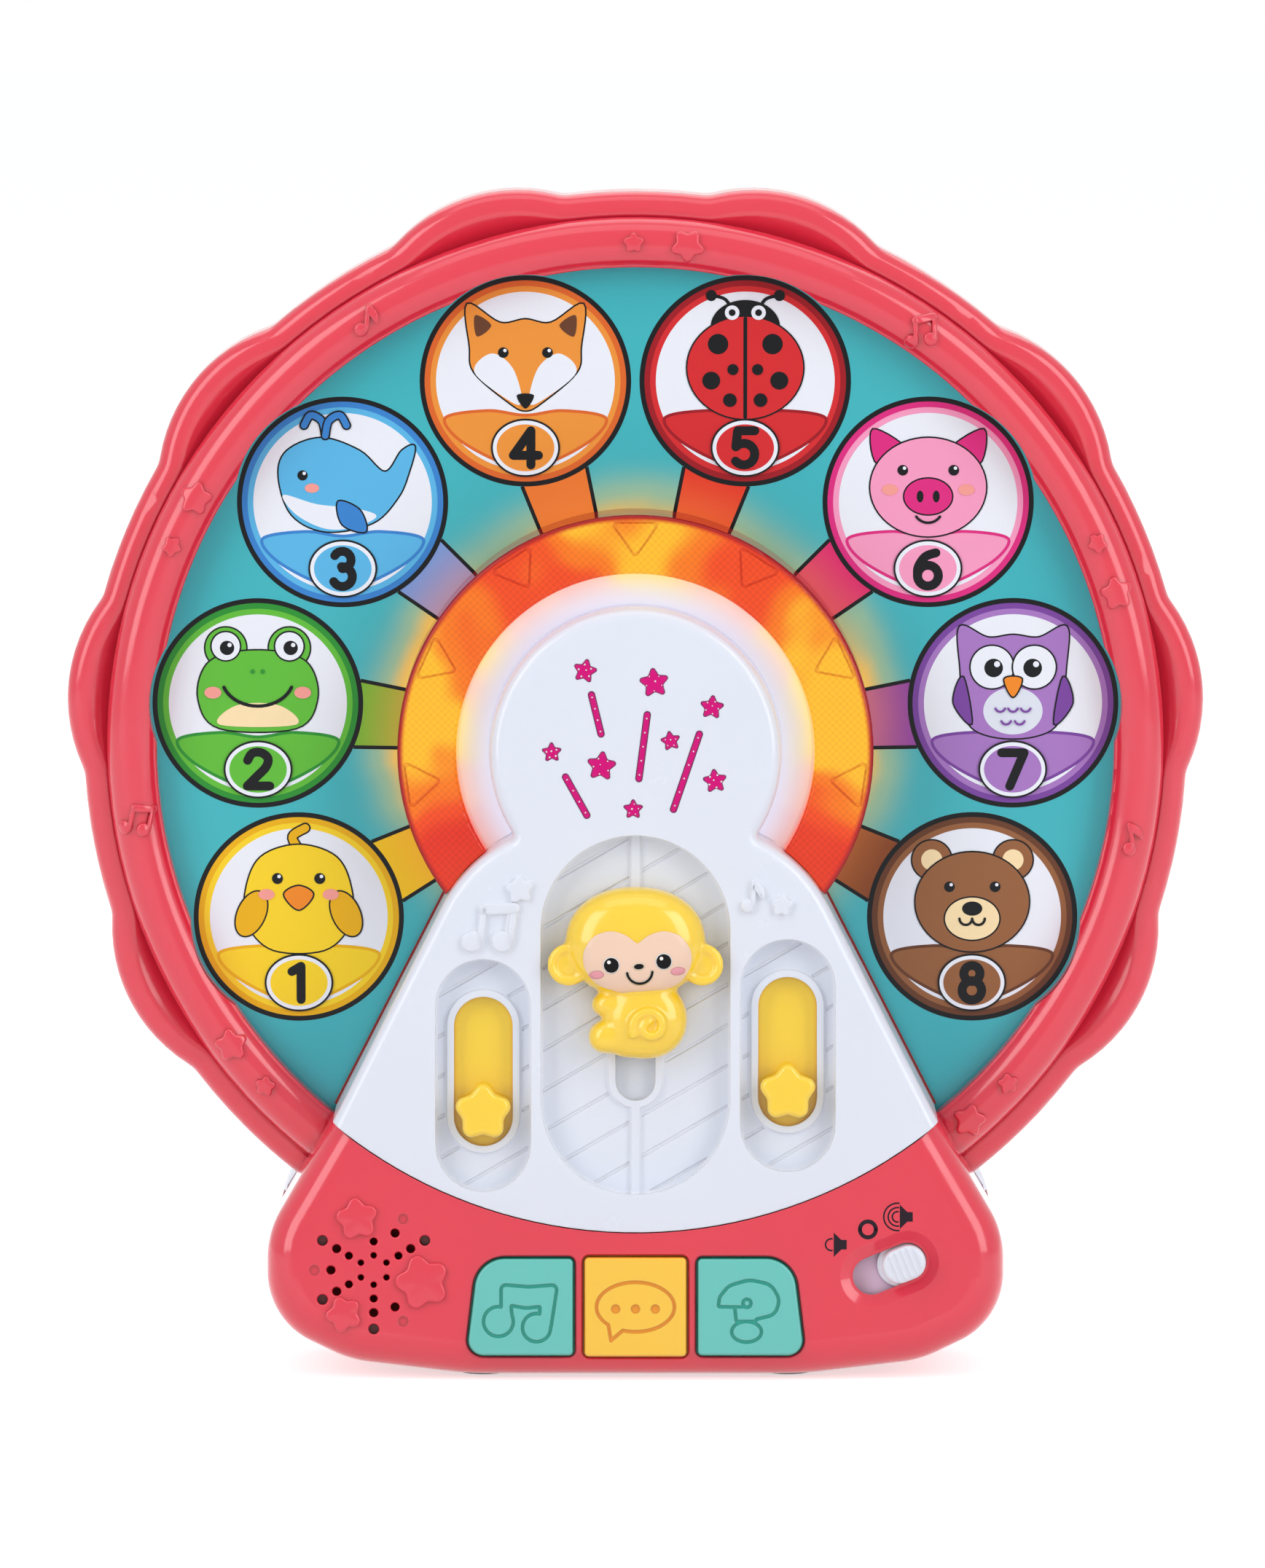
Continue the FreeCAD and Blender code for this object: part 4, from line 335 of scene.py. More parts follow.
finishes = {
    "coral": plastic("coralPlastic", (230, 46, 70), (243, 116, 130), (196, 24, 52), soft=0.1,
                     shine=(0.12, 0.26), coat=0.5),
    # the white plastic's hollow shading colour is paler than the plastic: painted light that lifts its grooves and
    # gaps
    "white": plastic("whitePlastic", (226, 231, 243), (248, 249, 255), (246, 248, 255), wear=0.4, soft=0.12,
                     coat=0.15),
    "shell": plastic("shellPlastic", (224, 228, 242), (244, 246, 253), (206, 210, 232), wear=0.4, soft=0.08,
                     shine=(0.25, 0.4), gloss=0.12),
    # painted shade: the volume switch is white plastic, given a pale violet here for the shade it lies in inside
    # its slot
    "lavender": plastic("switchPlastic", (234, 208, 234), (240, 220, 240), (186, 146, 190)),
    "yellow": plastic("yellowPlastic", (255, 212, 46), (255, 230, 116), (246, 180, 12), soft=0.2, coat=0.6),
    "speechYellow": plastic("speechKeyPlastic", (252, 200, 62), (255, 224, 120), (216, 134, 8), coat=0.2,
                            limit=0.6),
    "teal": plastic("tealKeyPlastic", (102, 197, 188), (150, 222, 214), (4, 132, 116), coat=0.2, limit=0.6),
    "grey": plastic("rollerPlastic", (214, 214, 208), (235, 235, 230), shine=(0.35, 0.5)),
    "black": plastic("chipPlastic", (30, 30, 32), (70, 70, 74), shine=(0.4, 0.6)),
    "rubber": plastic("padRubber", (58, 58, 62), (90, 90, 94), shine=(0.6, 0.8), peel=0.00008),
    "steel": metal("platedSteel", (190, 192, 196)),
    "brass": metal("contactBrass", (206, 184, 128)),
    "board": plastic("lacqueredBoard", (26, 112, 60), (120, 150, 90), shine=(0.25, 0.4)),
    # painted shade: the speaker behind the grille is dark reddish brown, the shade of the housing's red inside
    # that the holes show
    "speakerMetal": plastic("speakerMetal", (104, 40, 36), (130, 70, 60), shine=(0.35, 0.5)),
    "speakerPaper": plastic("speakerPaper", (128, 44, 40), (140, 60, 52), shine=(0.7, 0.9), peel=0.0001),
    "wrap": plastic("cellWrap", (88, 98, 116), (170, 174, 180), shine=(0.2, 0.35)),
    "lamp": plastic("lampLens", (250, 240, 210), (255, 250, 240), shine=(0.08, 0.15)),
    "peach": plastic("peachFace", (246, 210, 186), (250, 224, 206), (226, 164, 130), soft=0.15),
    "eyeBlack": plastic("eyeBlack", (16, 14, 16), (24, 22, 26), shine=(0.3, 0.4), gloss=0.12),
    "eyeWhite": plastic("eyeWhite", (250, 248, 244), (255, 255, 255), shine=(0.1, 0.2)),
    "cheekPink": plastic("cheekPink", (238, 158, 170), (244, 176, 186), shine=(0.25, 0.35)),
    "creamLine": plastic("creamLine", (252, 232, 204), (255, 240, 220), shine=(0.25, 0.35)),
}
slotFinish = {
    "red_plastic": "coral", "white_plastic": "white", "yellow_plastic": "yellow", "peach_plastic": "peach",
    "teal_plastic": "teal", "screw_steel": "steel", "board_green": "board", "black_plastic": "black",
    "lamp_lens": "lamp", "dark_rubber": "rubber", "speaker_metal": "speakerMetal",
    "speaker_paper": "speakerPaper", "cell_wrap": "wrap", "contact_brass": "brass", "roller_plastic": "grey",
    "orange_lens": "ringLens", "halo_lens": "haloLens", "magenta_lens": "starLens",
    "printed_panel": "panelFilm",
}


# the orange ring: patches of light behind a dotted lens, with a red rim that stays dark outside
ringLook = {
    "tints": [(0.0, (222, 40, 18)), (0.25, (238, 72, 18)), (0.5, (246, 118, 16)), (0.85, (255, 186, 36))],
    "rim": (206, 26, 24), "rimRange": (0.0606, 0.0618), "darkRange": (0.0612, 0.0626), "darkLevel": 0.05,
    "dotDepth": 0.2, "dotBase": 0.94, "baseShare": 0.42,
}


def makeRingLens():
    look = ringLook
    material, tree, shader = newMaterial("litRingLens", {
        "Emission Strength": 0.64, "Specular IOR Level": 0.2, "Coat Weight": 0.15, "Coat Roughness": 0.06})
    glow = placeGroup(tree, lampGlow)
    tint = ramp(tree, glow.outputs["Patch"], [(place, paint(*colour)) for place, colour in look["tints"]])
    dots = times(tree, glow.outputs["Grain"], look["dotDepth"])
    spotted = scaleValue(tree, tint, plus(tree, dots, look["dotBase"]))
    radius = aroundWheel(tree)[3]
    body = blendColour(tree, mapRange(tree, radius, *look["rimRange"]), spotted, paint(*look["rim"]))
    # painted shade in the grooves of the ring's raised lines, from the hollow shading colour
    skin = placeGroup(tree, mouldedSkin, Colour=grey(0.92), Edge_Colour=grey(1.0),
                      Cavity_Colour=paint(196, 120, 100), Cavity_Reach=0.0007, Edge_Wear=0.6,
                      Low_Roughness=0.1, High_Roughness=0.18)
    body = blendColour(tree, 1.0, body, skin.outputs["Colour"], "MULTIPLY")
    linkSkin(tree, shader, skin, blendColour(tree, 1.0, body, grey(look["baseShare"]), "MULTIPLY"))
    dark = mapRange(tree, radius, *look["darkRange"], 1.0, look["darkLevel"])
    tree.links.new(blendColour(tree, dark, grey(0.0), body), shader["Emission Color"])
    return material


# the halo: painted shade, pale violet, beside the dome, and the orange ring's light painted warm towards the ring
haloLook = {
    "warm": [(0.05, (250, 206, 200)), (0.35, (255, 222, 204)), (0.8, (255, 240, 166))],
    "cool": (226, 230, 248), "warmRange": (0.0385, 0.0466), "warmPower": 1.3, "baseShare": 0.62,
}


def makeHaloLens():
    look = haloLook
    material, tree, shader = newMaterial("litHaloLens", {"Emission Strength": 0.5})
    glow = placeGroup(tree, lampGlow)
    outward = mapRange(tree, aroundWheel(tree)[3], *look["warmRange"])
    warm = ramp(tree, glow.outputs["Patch"], [(place, paint(*colour)) for place, colour in look["warm"]])
    tint = blendColour(tree, doMath(tree, "POWER", outward, look["warmPower"]), paint(*look["cool"]), warm)
    skin = placeGroup(tree, mouldedSkin, Low_Roughness=0.2, High_Roughness=0.3)
    linkSkin(tree, shader, skin, blendColour(tree, 1.0, tint, grey(look["baseShare"]), "MULTIPLY"))
    tree.links.new(tint, shader["Emission Color"])
    return material


def makeStarLens():
    material, tree, shader = newMaterial("magentaStarLens", {
        "Emission Strength": 0.16, "Specular IOR Level": 0.2})
    # painted shade: the stars' edges take a dark purple, the shade on the sides of their recesses
    skin = placeGroup(tree, mouldedSkin, Colour=paint(198, 0, 112), Edge_Colour=paint(92, 12, 96),
                      Edge_Wear=1.0, Edge_Width=0.0007, Flow=0.2, Low_Roughness=0.1, High_Roughness=0.2)
    linkSkin(tree, shader, skin)
    tree.links.new(skin.outputs["Colour"], shader["Emission Color"])
    return material


# the teal panel, which takes the lamps' light beside the orange ring
panelLook = {
    "grounds": ((40, 168, 180), (66, 188, 196)), "cloudScale": 9.0,
    "near": [(0.0, (64, 170, 178)), (0.45, (178, 190, 120)), (0.8, (240, 190, 60)), (1.0, (255, 214, 90))],
}


def makePanelFilm():
    look = panelLook
    material, tree, shader = newMaterial("picturePanelFilm", {
        "Emission Strength": 0.4, "Specular IOR Level": 0.3, "Coat Weight": 0.15, "Coat Roughness": 0.05})
    clouds = addNoise(tree, addNode(tree, "TexCoord").outputs["Object"], look["cloudScale"], 1.0)
    film = placeGroup(tree, printedFilm, Screen_Depth=0.02)
    tree.links.new(blendColour(tree, clouds, *(paint(*colour) for colour in look["grounds"])),
                   film.inputs["Colour"])
    glow = placeGroup(tree, lampGlow, Start_Radius=0.061, Reach=0.022, Unevenness=0.55).outputs["Glow"]
    near = ramp(tree, glow, [(place, paint(*colour)) for place, colour in look["near"]])
    linkSkin(tree, shader, film, blendColour(tree, glow, film.outputs["Colour"], near))
    tree.links.new(blendColour(tree, glow, grey(0.0), near), shader["Emission Color"])
    return material


finishes["ringLens"] = makeRingLens()
finishes["haloLens"] = makeHaloLens()
finishes["starLens"] = makeStarLens()
finishes["panelFilm"] = makePanelFilm()

# each badge colour's plain ink, deeper ink and spoke ink, then the inks that all badges share
badgeInks = {
    "yellow": [(250, 214, 44), (236, 180, 20), (252, 208, 30)],
    "green": [(98, 190, 60), (44, 146, 52), (112, 192, 56)],
    "blue": [(92, 184, 232), (58, 132, 208), (112, 160, 226)],
    "orange": [(238, 150, 60), (222, 104, 42), (238, 122, 44)],
    "red": [(214, 44, 48), (160, 22, 34), (230, 46, 34)],
    "pink": [(246, 158, 196), (222, 44, 130), (224, 18, 116)],
    "purple": [(168, 122, 196), (122, 70, 160), (142, 66, 168)],
    "brown": [(150, 98, 62), (104, 62, 40), (130, 66, 34)],
}
inkColours = {
    "black": (16, 17, 21), "white": (236, 241, 250), "softWhite": (222, 228, 240), "blush": (244, 160, 150),
    "cream": (250, 226, 178), "beak": (242, 140, 40), "print": (40, 24, 36),
}
for name, tones in badgeInks.items():
    inkColours.update({name + ending: tone for ending, tone in zip(("", "Deep", "Spoke"), tones)})
lampLightTint = (250, 150, 70)
inkMaterials = {}


def ink(name, glowing=False):
    key = name + ("Lit" if glowing else "")
    if key not in inkMaterials:
        material, tree, shader = newMaterial("ink" + key[0].upper() + key[1:], {
            "Specular IOR Level": 0.15, "Coat Weight": 0.08, "Coat Roughness": 0.05})
        film = placeGroup(tree, printedFilm, Colour=paint(*inkColours[name]))
        colour = film.outputs["Colour"]
        # painted light: beside the orange ring, the ring's lamp light is painted into the ink's colour and set to
        # glow
        if glowing:
            glow = placeGroup(tree, lampGlow, Start_Radius=0.061, Reach=0.018, Unevenness=0.4).outputs["Glow"]
            warm = blendColour(tree, 0.5, paint(*inkColours[name]), paint(*lampLightTint))
            colour = blendColour(tree, glow, colour, warm)
            tree.links.new(blendColour(tree, glow, grey(0.0), warm), shader["Emission Color"])
            shader["Emission Strength"].default_value = 0.25
        linkSkin(tree, shader, film, colour)
        inkMaterials[key] = material
    return inkMaterials[key]


# a key's sunken lines: its colour is deeper below the level of its top, from one depth to another in metres
keyLines = {"depths": (0.00012, 0.00034), "speechYellow": (240, 156, 8), "teal": (6, 164, 146)}


def deepenLines(finish, node):
    tree = finishes[finish].node_tree
    base = tree.nodes["Principled BSDF"].inputs["Base Color"]
    level = max(faceOut.dot(vertex.co) for vertex in nodes[node].data.vertices)
    where = addNode(tree, "TexCoord").outputs["Object"]
    height = addNode(tree, "VectorMath", {0: where, 1: tuple(faceOut)}, operation="DOT_PRODUCT")
    sunk = mapRange(tree, height.outputs["Value"], *(level - depth for depth in keyLines["depths"]))
    tree.links.new(blendColour(tree, sunk, base.links[0].from_socket, paint(*keyLines[finish])), base)


nodeSlots = {row["node"]: row["material_slot"] for row in frame["record"]["subparts"]}
nodeFinish = {name: slotFinish[slotName] for name, slotName in nodeSlots.items()}
nodeFinish.update({"speech_button": "speechYellow", "volume_switch": "lavender", "base_rear_cover": "shell"})
for name, part in nodes.items():
    part.data.materials.clear()
    part.data.materials.append(finishes[nodeFinish[name]])
deepenLines("speechYellow", "speech_button")
deepenLines("teal", "music_button")
print("materials:", len(bpy.data.materials))


# flat outlines, all lists of (x, y) in millimetres

def turnLine(line, degrees, x=0.0, y=0.0):
    cosine, sine = math.cos(math.radians(degrees)), math.sin(math.radians(degrees))
    return [(x + a * cosine - b * sine, y + a * sine + b * cosine) for a, b in line]


def ovalLine(x, y, across, up=None, turn=0.0, steps=56):
    up = across if up is None else up
    angles = [math.tau * step / steps for step in range(steps)]
    return turnLine([(across * math.cos(angle), up * math.sin(angle)) for angle in angles], turn, x, y)


def arcLine(x, y, radius, start, end, steps=18, squash=1.0):
    angles = [math.radians(start + (end - start) * k / steps) for k in range(steps + 1)]
    return [(x + radius * math.cos(angle), y + squash * radius * math.sin(angle)) for angle in angles]


def flowLine(points, steps=7, closed=True):
    line = []
    count = len(points)
    for index in range(count if closed else count - 1):
        if closed:
            p0, p1, p2, p3 = (points[(index + k) % count] for k in (-1, 0, 1, 2))
        else:
            p0, p1 = points[max(index - 1, 0)], points[index]
            p2, p3 = points[index + 1], points[min(index + 2, count - 1)]
        for step in range(steps):
            t = step / steps
            line.append(tuple(0.5 * (2 * b + (c - a) * t + (2 * a - 5 * b + 4 * c - d) * t * t
                                     + (3 * b - a - 3 * c + d) * t ** 3)
                              for a, b, c, d in zip(p0, p1, p2, p3)))
    if not closed:
        line.append(points[-1])
    return line


def turnsLeft(line):
    return sum(line[i - 1][0] * line[i][1] - line[i][0] * line[i - 1][1] for i in range(len(line))) > 0


def growLine(line, amount):
    count = len(line)
    side = amount if turnsLeft(line) else -amount
    grown = []
    for index in range(count):
        (x0, y0), (x1, y1), (x2, y2) = line[index - 1], line[index], line[(index + 1) % count]
        first, second = Vector((y1 - y0, x0 - x1)), Vector((y2 - y1, x1 - x2))
        if first.length < 1e-9 or second.length < 1e-9:
            continue
        push = first.normalized() + second.normalized()
        push = push.normalized() * side / max(0.45, push.length / 2)
        grown.append((x1 + push.x, y1 + push.y))
    return grown


def strokeLine(points, width):
    left, right = [], []
    count = len(points)
    half = width / 2
    # the two sides, then half a circle round each end
    for index, (x, y) in enumerate(points):
        x0, y0 = points[max(index - 1, 0)]
        x1, y1 = points[min(index + 1, count - 1)]
        length = math.hypot(x1 - x0, y1 - y0) or 1
        nx, ny = -(y1 - y0) / length * half, (x1 - x0) / length * half
        left.append((x + nx, y + ny))
        right.append((x - nx, y - ny))
    caps = []
    for end, sideLine in ((-1, left), (0, right)):
        x, y = points[end]
        ax, ay = sideLine[end][0] - x, sideLine[end][1] - y
        radius, start = math.hypot(ax, ay), math.atan2(ay, ax)
        angles = [start - math.pi * k / 6 for k in range(1, 6)]
        caps.append([(x + radius * math.cos(angle), y + radius * math.sin(angle)) for angle in angles])
    return left + caps[0] + right[::-1] + caps[1]


# closed prisms drawn on a plane, collected in one mesh

class Sheet:
    def __init__(self, place):
        self.place = place
        self.mesh = bmesh.new()
        self.paints = []

    def plate(self, line, low, high, material):
        if material not in self.paints:
            self.paints.append(material)
        index = self.paints.index(material)
        line = line if turnsLeft(line) else line[::-1]
        lower = [self.mesh.verts.new(self.place(x, y, low)) for x, y in line]
        upper = [self.mesh.verts.new(self.place(x, y, high)) for x, y in line]
        faces = [self.mesh.faces.new(upper), self.mesh.faces.new(lower[::-1])]
        for k in range(len(line)):
            faces.append(self.mesh.faces.new((lower[k - 1], lower[k], upper[k], upper[k - 1])))
        for face in faces:
            face.material_index = index

    def finish(self, name, body, slotName):
        mesh = bpy.data.meshes.new(name)
        bmesh.ops.recalc_face_normals(self.mesh, faces=self.mesh.faces)
        self.mesh.to_mesh(mesh)
        self.mesh.free()
        addPiece(name, mesh, self.paints, body)


def addPiece(name, mesh, materials, body, smooth=False):
    piece = bpy.data.objects.new(name, mesh)
    bpy.context.scene.collection.objects.link(piece)
    for material in materials:
        mesh.materials.append(material)
    mesh.polygons.foreach_set("use_smooth", [smooth] * len(mesh.polygons))
    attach(piece, body)
    return piece


def roundLine(corners, steps=6):
    line = []
    for index, (x, y, radius) in enumerate(corners):
        here = Vector((x, y))
        before = (Vector(corners[index - 1][:2]) - here).normalized()
        after = (Vector(corners[(index + 1) % len(corners)][:2]) - here).normalized()
        half = before.angle(after) / 2
        centre = here + (before + after).normalized() * radius / math.sin(half)
        first = here + before * radius / math.tan(half) - centre
        last = here + after * radius / math.tan(half) - centre
        start = math.atan2(first.y, first.x)
        sweep = (math.atan2(last.y, last.x) - start + math.pi) % math.tau - math.pi
        line += [(centre.x + radius * math.cos(start + sweep * k / steps),
                  centre.y + radius * math.sin(start + sweep * k / steps)) for k in range(steps + 1)]
    return line


def starLine(radius, x, y, turn, waist, tipRound, waistRound):
    corners = []
    for point in range(5):
        tip = polar(radius * 1.12, turn + 72 * point, (x, y))
        dip = polar(radius * waist, turn + 72 * point + 36, (x, y))
        corners += [(*tip, radius * tipRound), (*dip, radius * waistRound)]
    return roundLine(corners)


def level(x, y):
    return 0.0


# closed skins of rings: mesh rows joined one to the next, the first and last row capped

def loft(mesh, rings, index=0, wrap=False):
    rows = [[mesh.verts.new(point) for point in ring] for ring in rings]
    faces = [] if wrap else [mesh.faces.new(rows[0][::-1]), mesh.faces.new(rows[-1])]
    for first, second in zip(rows, rows[1:] + rows[:1] if wrap else rows[1:]):
        for k in range(len(first)):
            faces.append(mesh.faces.new((first[k - 1], first[k], second[k], second[k - 1])))
    for face in faces:
        face.material_index = index


# rings of a raised figure with a rounded edge, from below its surface to the middle of its top
def puffRings(place, line, surface, high, edge, sink=0.3, dome=0.0):
    rings = [[place(x, y, surface(x, y) - sink) for x, y in line]]
    for step in range(7):
        angle = math.radians(15 * step)
        inset = growLine(line, -edge * (1 - math.cos(angle)))
        lift = high - edge + edge * math.sin(angle)
        rings.append([place(x, y, surface(x, y) + lift) for x, y in inset])
    middleX = sum(x for x, y in inset) / len(inset)
    middleY = sum(y for x, y in inset) / len(inset)
    for share in (0.88, 0.72, 0.54, 0.36, 0.18, 0.03):
        ring = [(middleX + (x - middleX) * share, middleY + (y - middleY) * share) for x, y in inset]
        rings.append([place(x, y, surface(x, y) + high + dome * (1 - share * share)) for x, y in ring])
    return rings


# rings of a raised line with rounded sides and ends
def strokeRings(place, points, width, surface, high, edge, sink=0.3):
    rings = []
    half = width / 2
    count = len(points)
    stations = [(0, -half * math.cos(a), half * math.sin(a)) for a in (0.1, 0.5, 1.0)]
    stations += [(index, 0.0, half) for index in range(count)]
    stations += [(count - 1, half * math.cos(a), half * math.sin(a)) for a in (1.0, 0.5, 0.1)]
    for index, past, reach in stations:
        x, y = points[index]
        x0, y0 = points[max(index - 1, 0)]
        x1, y1 = points[min(index + 1, count - 1)]
        length = math.hypot(x1 - x0, y1 - y0)
        alongX, alongY = (x1 - x0) / length, (y1 - y0) / length
        x, y = x + alongX * past, y + alongY * past
        lift = high * math.sqrt(reach / half)
        rounding = min(edge, lift, reach)
        profile = [(-reach, -sink)]
        profile += [(-reach + rounding * (1 - math.cos(a)), lift - rounding * (1 - math.sin(a)))
                    for a in (0.0, 0.4, 0.8, 1.2, math.pi / 2)]
        profile += [(-across, rise) for across, rise in reversed(profile)]
        rings.append([place(x - alongY * a, y + alongX * a, surface(x - alongY * a, y + alongX * a) + rise)
                      for a, rise in profile])
    return rings


# raised figures that stand on the bezel, the tower and the speaker corner

bezelCrown = {"inner": (127.1, 15.2), "crest": (133.5, 18.0), "outer": (139.5, 12.6)}
reliefs = {
    "high": 1.25, "edge": 0.6, "grow": 0.15, "circle": 133.0, "firstStar": -48.3, "starStep": 66.2,
    "pairLead": 6.1, "noteLead": 37.9, "largeStar": 4.75, "smallStar": 2.85, "noteScale": 0.86,
    "bezelShape": (0.62, 0.22, 0.18), "towerShape": (0.62, 0.24, 0.2), "cornerShape": (0.63, 0.27, 0.16),
    "towerStars": [(4.0, -30.3, -35.2, 96), (3.1, 38.4, -39.4, 84)],
    "towerNotes": [(1.34, -38.2, -44.9, -8, True), (0.86, 30.7, -36.9, -4, False)],
    "cornerStars": [(6.3, -72.9, -121.5, 98), (8.1, -55.8, -138.1, 106), (5.4, -76.4, -146.5, 112)],
}


# a music note: one head with a flag, or two heads with a beam
noteShape = {
    "single": [(-1.3, -3.1)], "double": [(-3.0, -3.4), (2.9, -2.6)], "head": 2.0, "headLift": 0.15,
    "headEdge": 0.8, "headDome": 0.2, "stemSide": 1.45, "stemMiddle": 2.2, "stemTop": 3.3, "stemWidth": 1.1,
    "stemEdge": 0.45, "beam": [(-1.6, 3.2), (1.4, 3.7), (4.4, 4.2)], "beamWidth": 2.0, "beamEdge": 0.5,
    "flag": [(-0.4, 2.0), (1.0, 1.5), (3.2, -0.8), (3.3, 1.4), (2.2, 3.4), (-0.3, 4.8)], "flagEdge": 0.4,
}


def circleThrough(first, second, third):
    (ax, ay), (bx, by), (cx, cy) = first, second, third
    aa, bb, cc = ax ** 2 + ay ** 2, bx ** 2 + by ** 2, cx ** 2 + cy ** 2
    d = 2 * (ax * (by - cy) + bx * (cy - ay) + cx * (ay - by))
    x = (aa * (by - cy) + bb * (cy - ay) + cc * (ay - by)) / d
    y = (aa * (cx - bx) + bb * (ax - cx) + cc * (bx - ax)) / d
    return x, y, math.hypot(ax - x, ay - y)


crownRadius, crownHeight, crownBend = circleThrough(*bezelCrown.values())


def onCrown(x, y):
    past = math.hypot(x, y) - crownRadius
    return crownHeight + math.sqrt(max(crownBend ** 2 - past ** 2, 0.01))


def raiseStar(mesh, place, surface, radius, x, y, turn, shape):
    look = reliefs
    line = growLine(starLine(radius, x, y, turn, *shape), look["grow"])
    loft(mesh, puffRings(place, line, surface, look["high"], min(look["edge"], radius * 0.16)))


def raiseNote(mesh, place, surface, scale, x, y, turn, double):
    look = noteShape
    high, grow = reliefs["high"], reliefs["grow"]

    def moved(points):
        return turnLine([(a * scale, b * scale) for a, b in points], turn, x, y)

    for a, b in look["double" if double else "single"]:
        line = growLine(moved(ovalLine(a, b, look["head"])), grow)
        loft(mesh, puffRings(place, line, surface, high + look["headLift"], look["headEdge"],
                             dome=look["headDome"]))
        side = a + look["stemSide"]
        stem = moved([(side, b), (side, b + look["stemMiddle"]), (side, look["stemTop"])])
        width = look["stemWidth"] * scale + 2 * grow
        loft(mesh, strokeRings(place, stem, width, surface, high, look["stemEdge"]))
    if double:
        width = look["beamWidth"] * scale + 2 * grow
        loft(mesh, strokeRings(place, moved(look["beam"]), width, surface, high, look["beamEdge"]))
    else:
        flag = growLine(moved(flowLine(look["flag"], steps=4)), grow)
        loft(mesh, puffRings(place, flag, surface, high, look["flagEdge"]))


def finishSkin(mesh, name, materials, body):
    bmesh.ops.recalc_face_normals(mesh, faces=mesh.faces)
    data = bpy.data.meshes.new(name)
    mesh.to_mesh(data)
    mesh.free()
    return addPiece(name, data, materials, body, smooth=True)


def makeReliefs():
    look = reliefs
    bezel, tower, corner = bmesh.new(), bmesh.new(), bmesh.new()
    for number in range(5):
        heading = look["firstStar"] + look["starStep"] * number
        x, y = polar(look["circle"], heading)
        raiseStar(bezel, onWheel, onCrown, look["largeStar"], x, y, 80 + 23 * number, look["bezelShape"])
        x, y = polar(look["circle"], heading + look["pairLead"])
        raiseStar(bezel, onWheel, onCrown, look["smallStar"], x, y, 100 + 31 * number, look["bezelShape"])
        if number < 4:
            x, y = polar(look["circle"], heading + look["noteLead"])
            raiseNote(bezel, onWheel, onCrown, look["noteScale"], x, y, 10 - 8 * number, number % 2 == 1)
    first, last = look["towerStars"]
    raiseStar(tower, onFace, level, *first, look["towerShape"])
    for note in look["towerNotes"]:
        raiseNote(tower, onFace, level, *note)
    raiseStar(tower, onFace, level, *last, look["towerShape"])
    for radius, x, y, turn in look["cornerStars"]:
        line = growLine(starLine(radius, x, y, turn, *look["cornerShape"]), look["grow"])
        loft(corner, puffRings(onFace, line, level, look["high"], 0.75, dome=0.1))
    finishSkin(bezel, "bezelReliefs", [finishes["coral"]], "housing")
    finishSkin(tower, "towerReliefs", [finishes["white"]], "housing")
    finishSkin(corner, "speakerCornerStars", [finishes["coral"]], "housing")


# the monkey slider: one smooth skin, and a face plate with its features set on it

monkey = {
    "floor": -3.8,
    "head": ((0.0, -49.05, -2.2), (18.4, 14.6, 10.7)), "body": ((2.5, -69.3, -1.6), (11.1, 10.4, 7.4)),
    "arm": ((-6.6, -65.3, -1.6), (5.0, 3.5, 5.6)), "leg": ((-7.3, -73.8, -1.6), (5.1, 4.5, 6.0)),
    "seat": ((-1.5, -72.0, -1.6), (7.4, 7.4, 6.4)), "earSpread": 17.5, "earDrop": -54.8, "earBack": -1.5,
    "earSize": (5.4, 5.4, 4.1), "earRim": 4.35, "earTube": 1.3, "earHigh": 1.95,
    "tailSpot": (3.8, -70.9), "tailOuter": 4.9, "tailInner": 0.9, "tailStart": 215, "tailTurns": 1.45,
    "tailTube": 1.3, "stem": 4.7, "stemDrop": -57.6, "stemBack": -7.5, "stemLength": 6.0,
    "grain": 0.42, "flat": 2.15, "front": 2.6,
}


def blobHeight(blob, x, y):
    (cx, cy, cz), (a, b, c) = blob
    flat, front = monkey["flat"], monkey["front"]
    inside = (abs((x - cx) / a) ** flat + abs((y - cy) / b) ** flat) ** (front / flat)
    return cz + c * max(1 - inside, 0.0) ** (1 / front)


def addBlob(mesh, blob):
    (cx, cy, cz), (a, b, c) = blob
    flat, front, floor = monkey["flat"], monkey["front"], monkey["floor"]
    made = bmesh.ops.create_uvsphere(mesh, u_segments=72, v_segments=40, radius=1.0)["verts"]
    for vertex in made:
        x, y, z = vertex.co
        side = (abs(x / a) ** flat + abs(y / b) ** flat) ** (front / flat)
        reach = (side + abs(z / c) ** front) ** (-1 / front)
        vertex.co = (cx + x * reach, cy + y * reach, max(cz + z * reach, floor))


def addRope(mesh, points, radii, wrap=False):
    rings = []
    count = len(points)
    for index, (x, y, z) in enumerate(points):
        x0, y0, _ = points[index - 1] if wrap or index else points[0]
        x1, y1, _ = points[(index + 1) % count] if wrap or index < count - 1 else points[-1]
        length = math.hypot(x1 - x0, y1 - y0)
        acrossX, acrossY = (y1 - y0) / length, (x0 - x1) / length
        ring = []
        for step in range(12):
            angle = math.tau * step / 12
            side, rise = radii[index] * math.cos(angle), radii[index] * math.sin(angle)
            ring.append((x + acrossX * side, y + acrossY * side, z + rise))
        rings.append(ring)
    loft(mesh, rings, wrap=wrap)


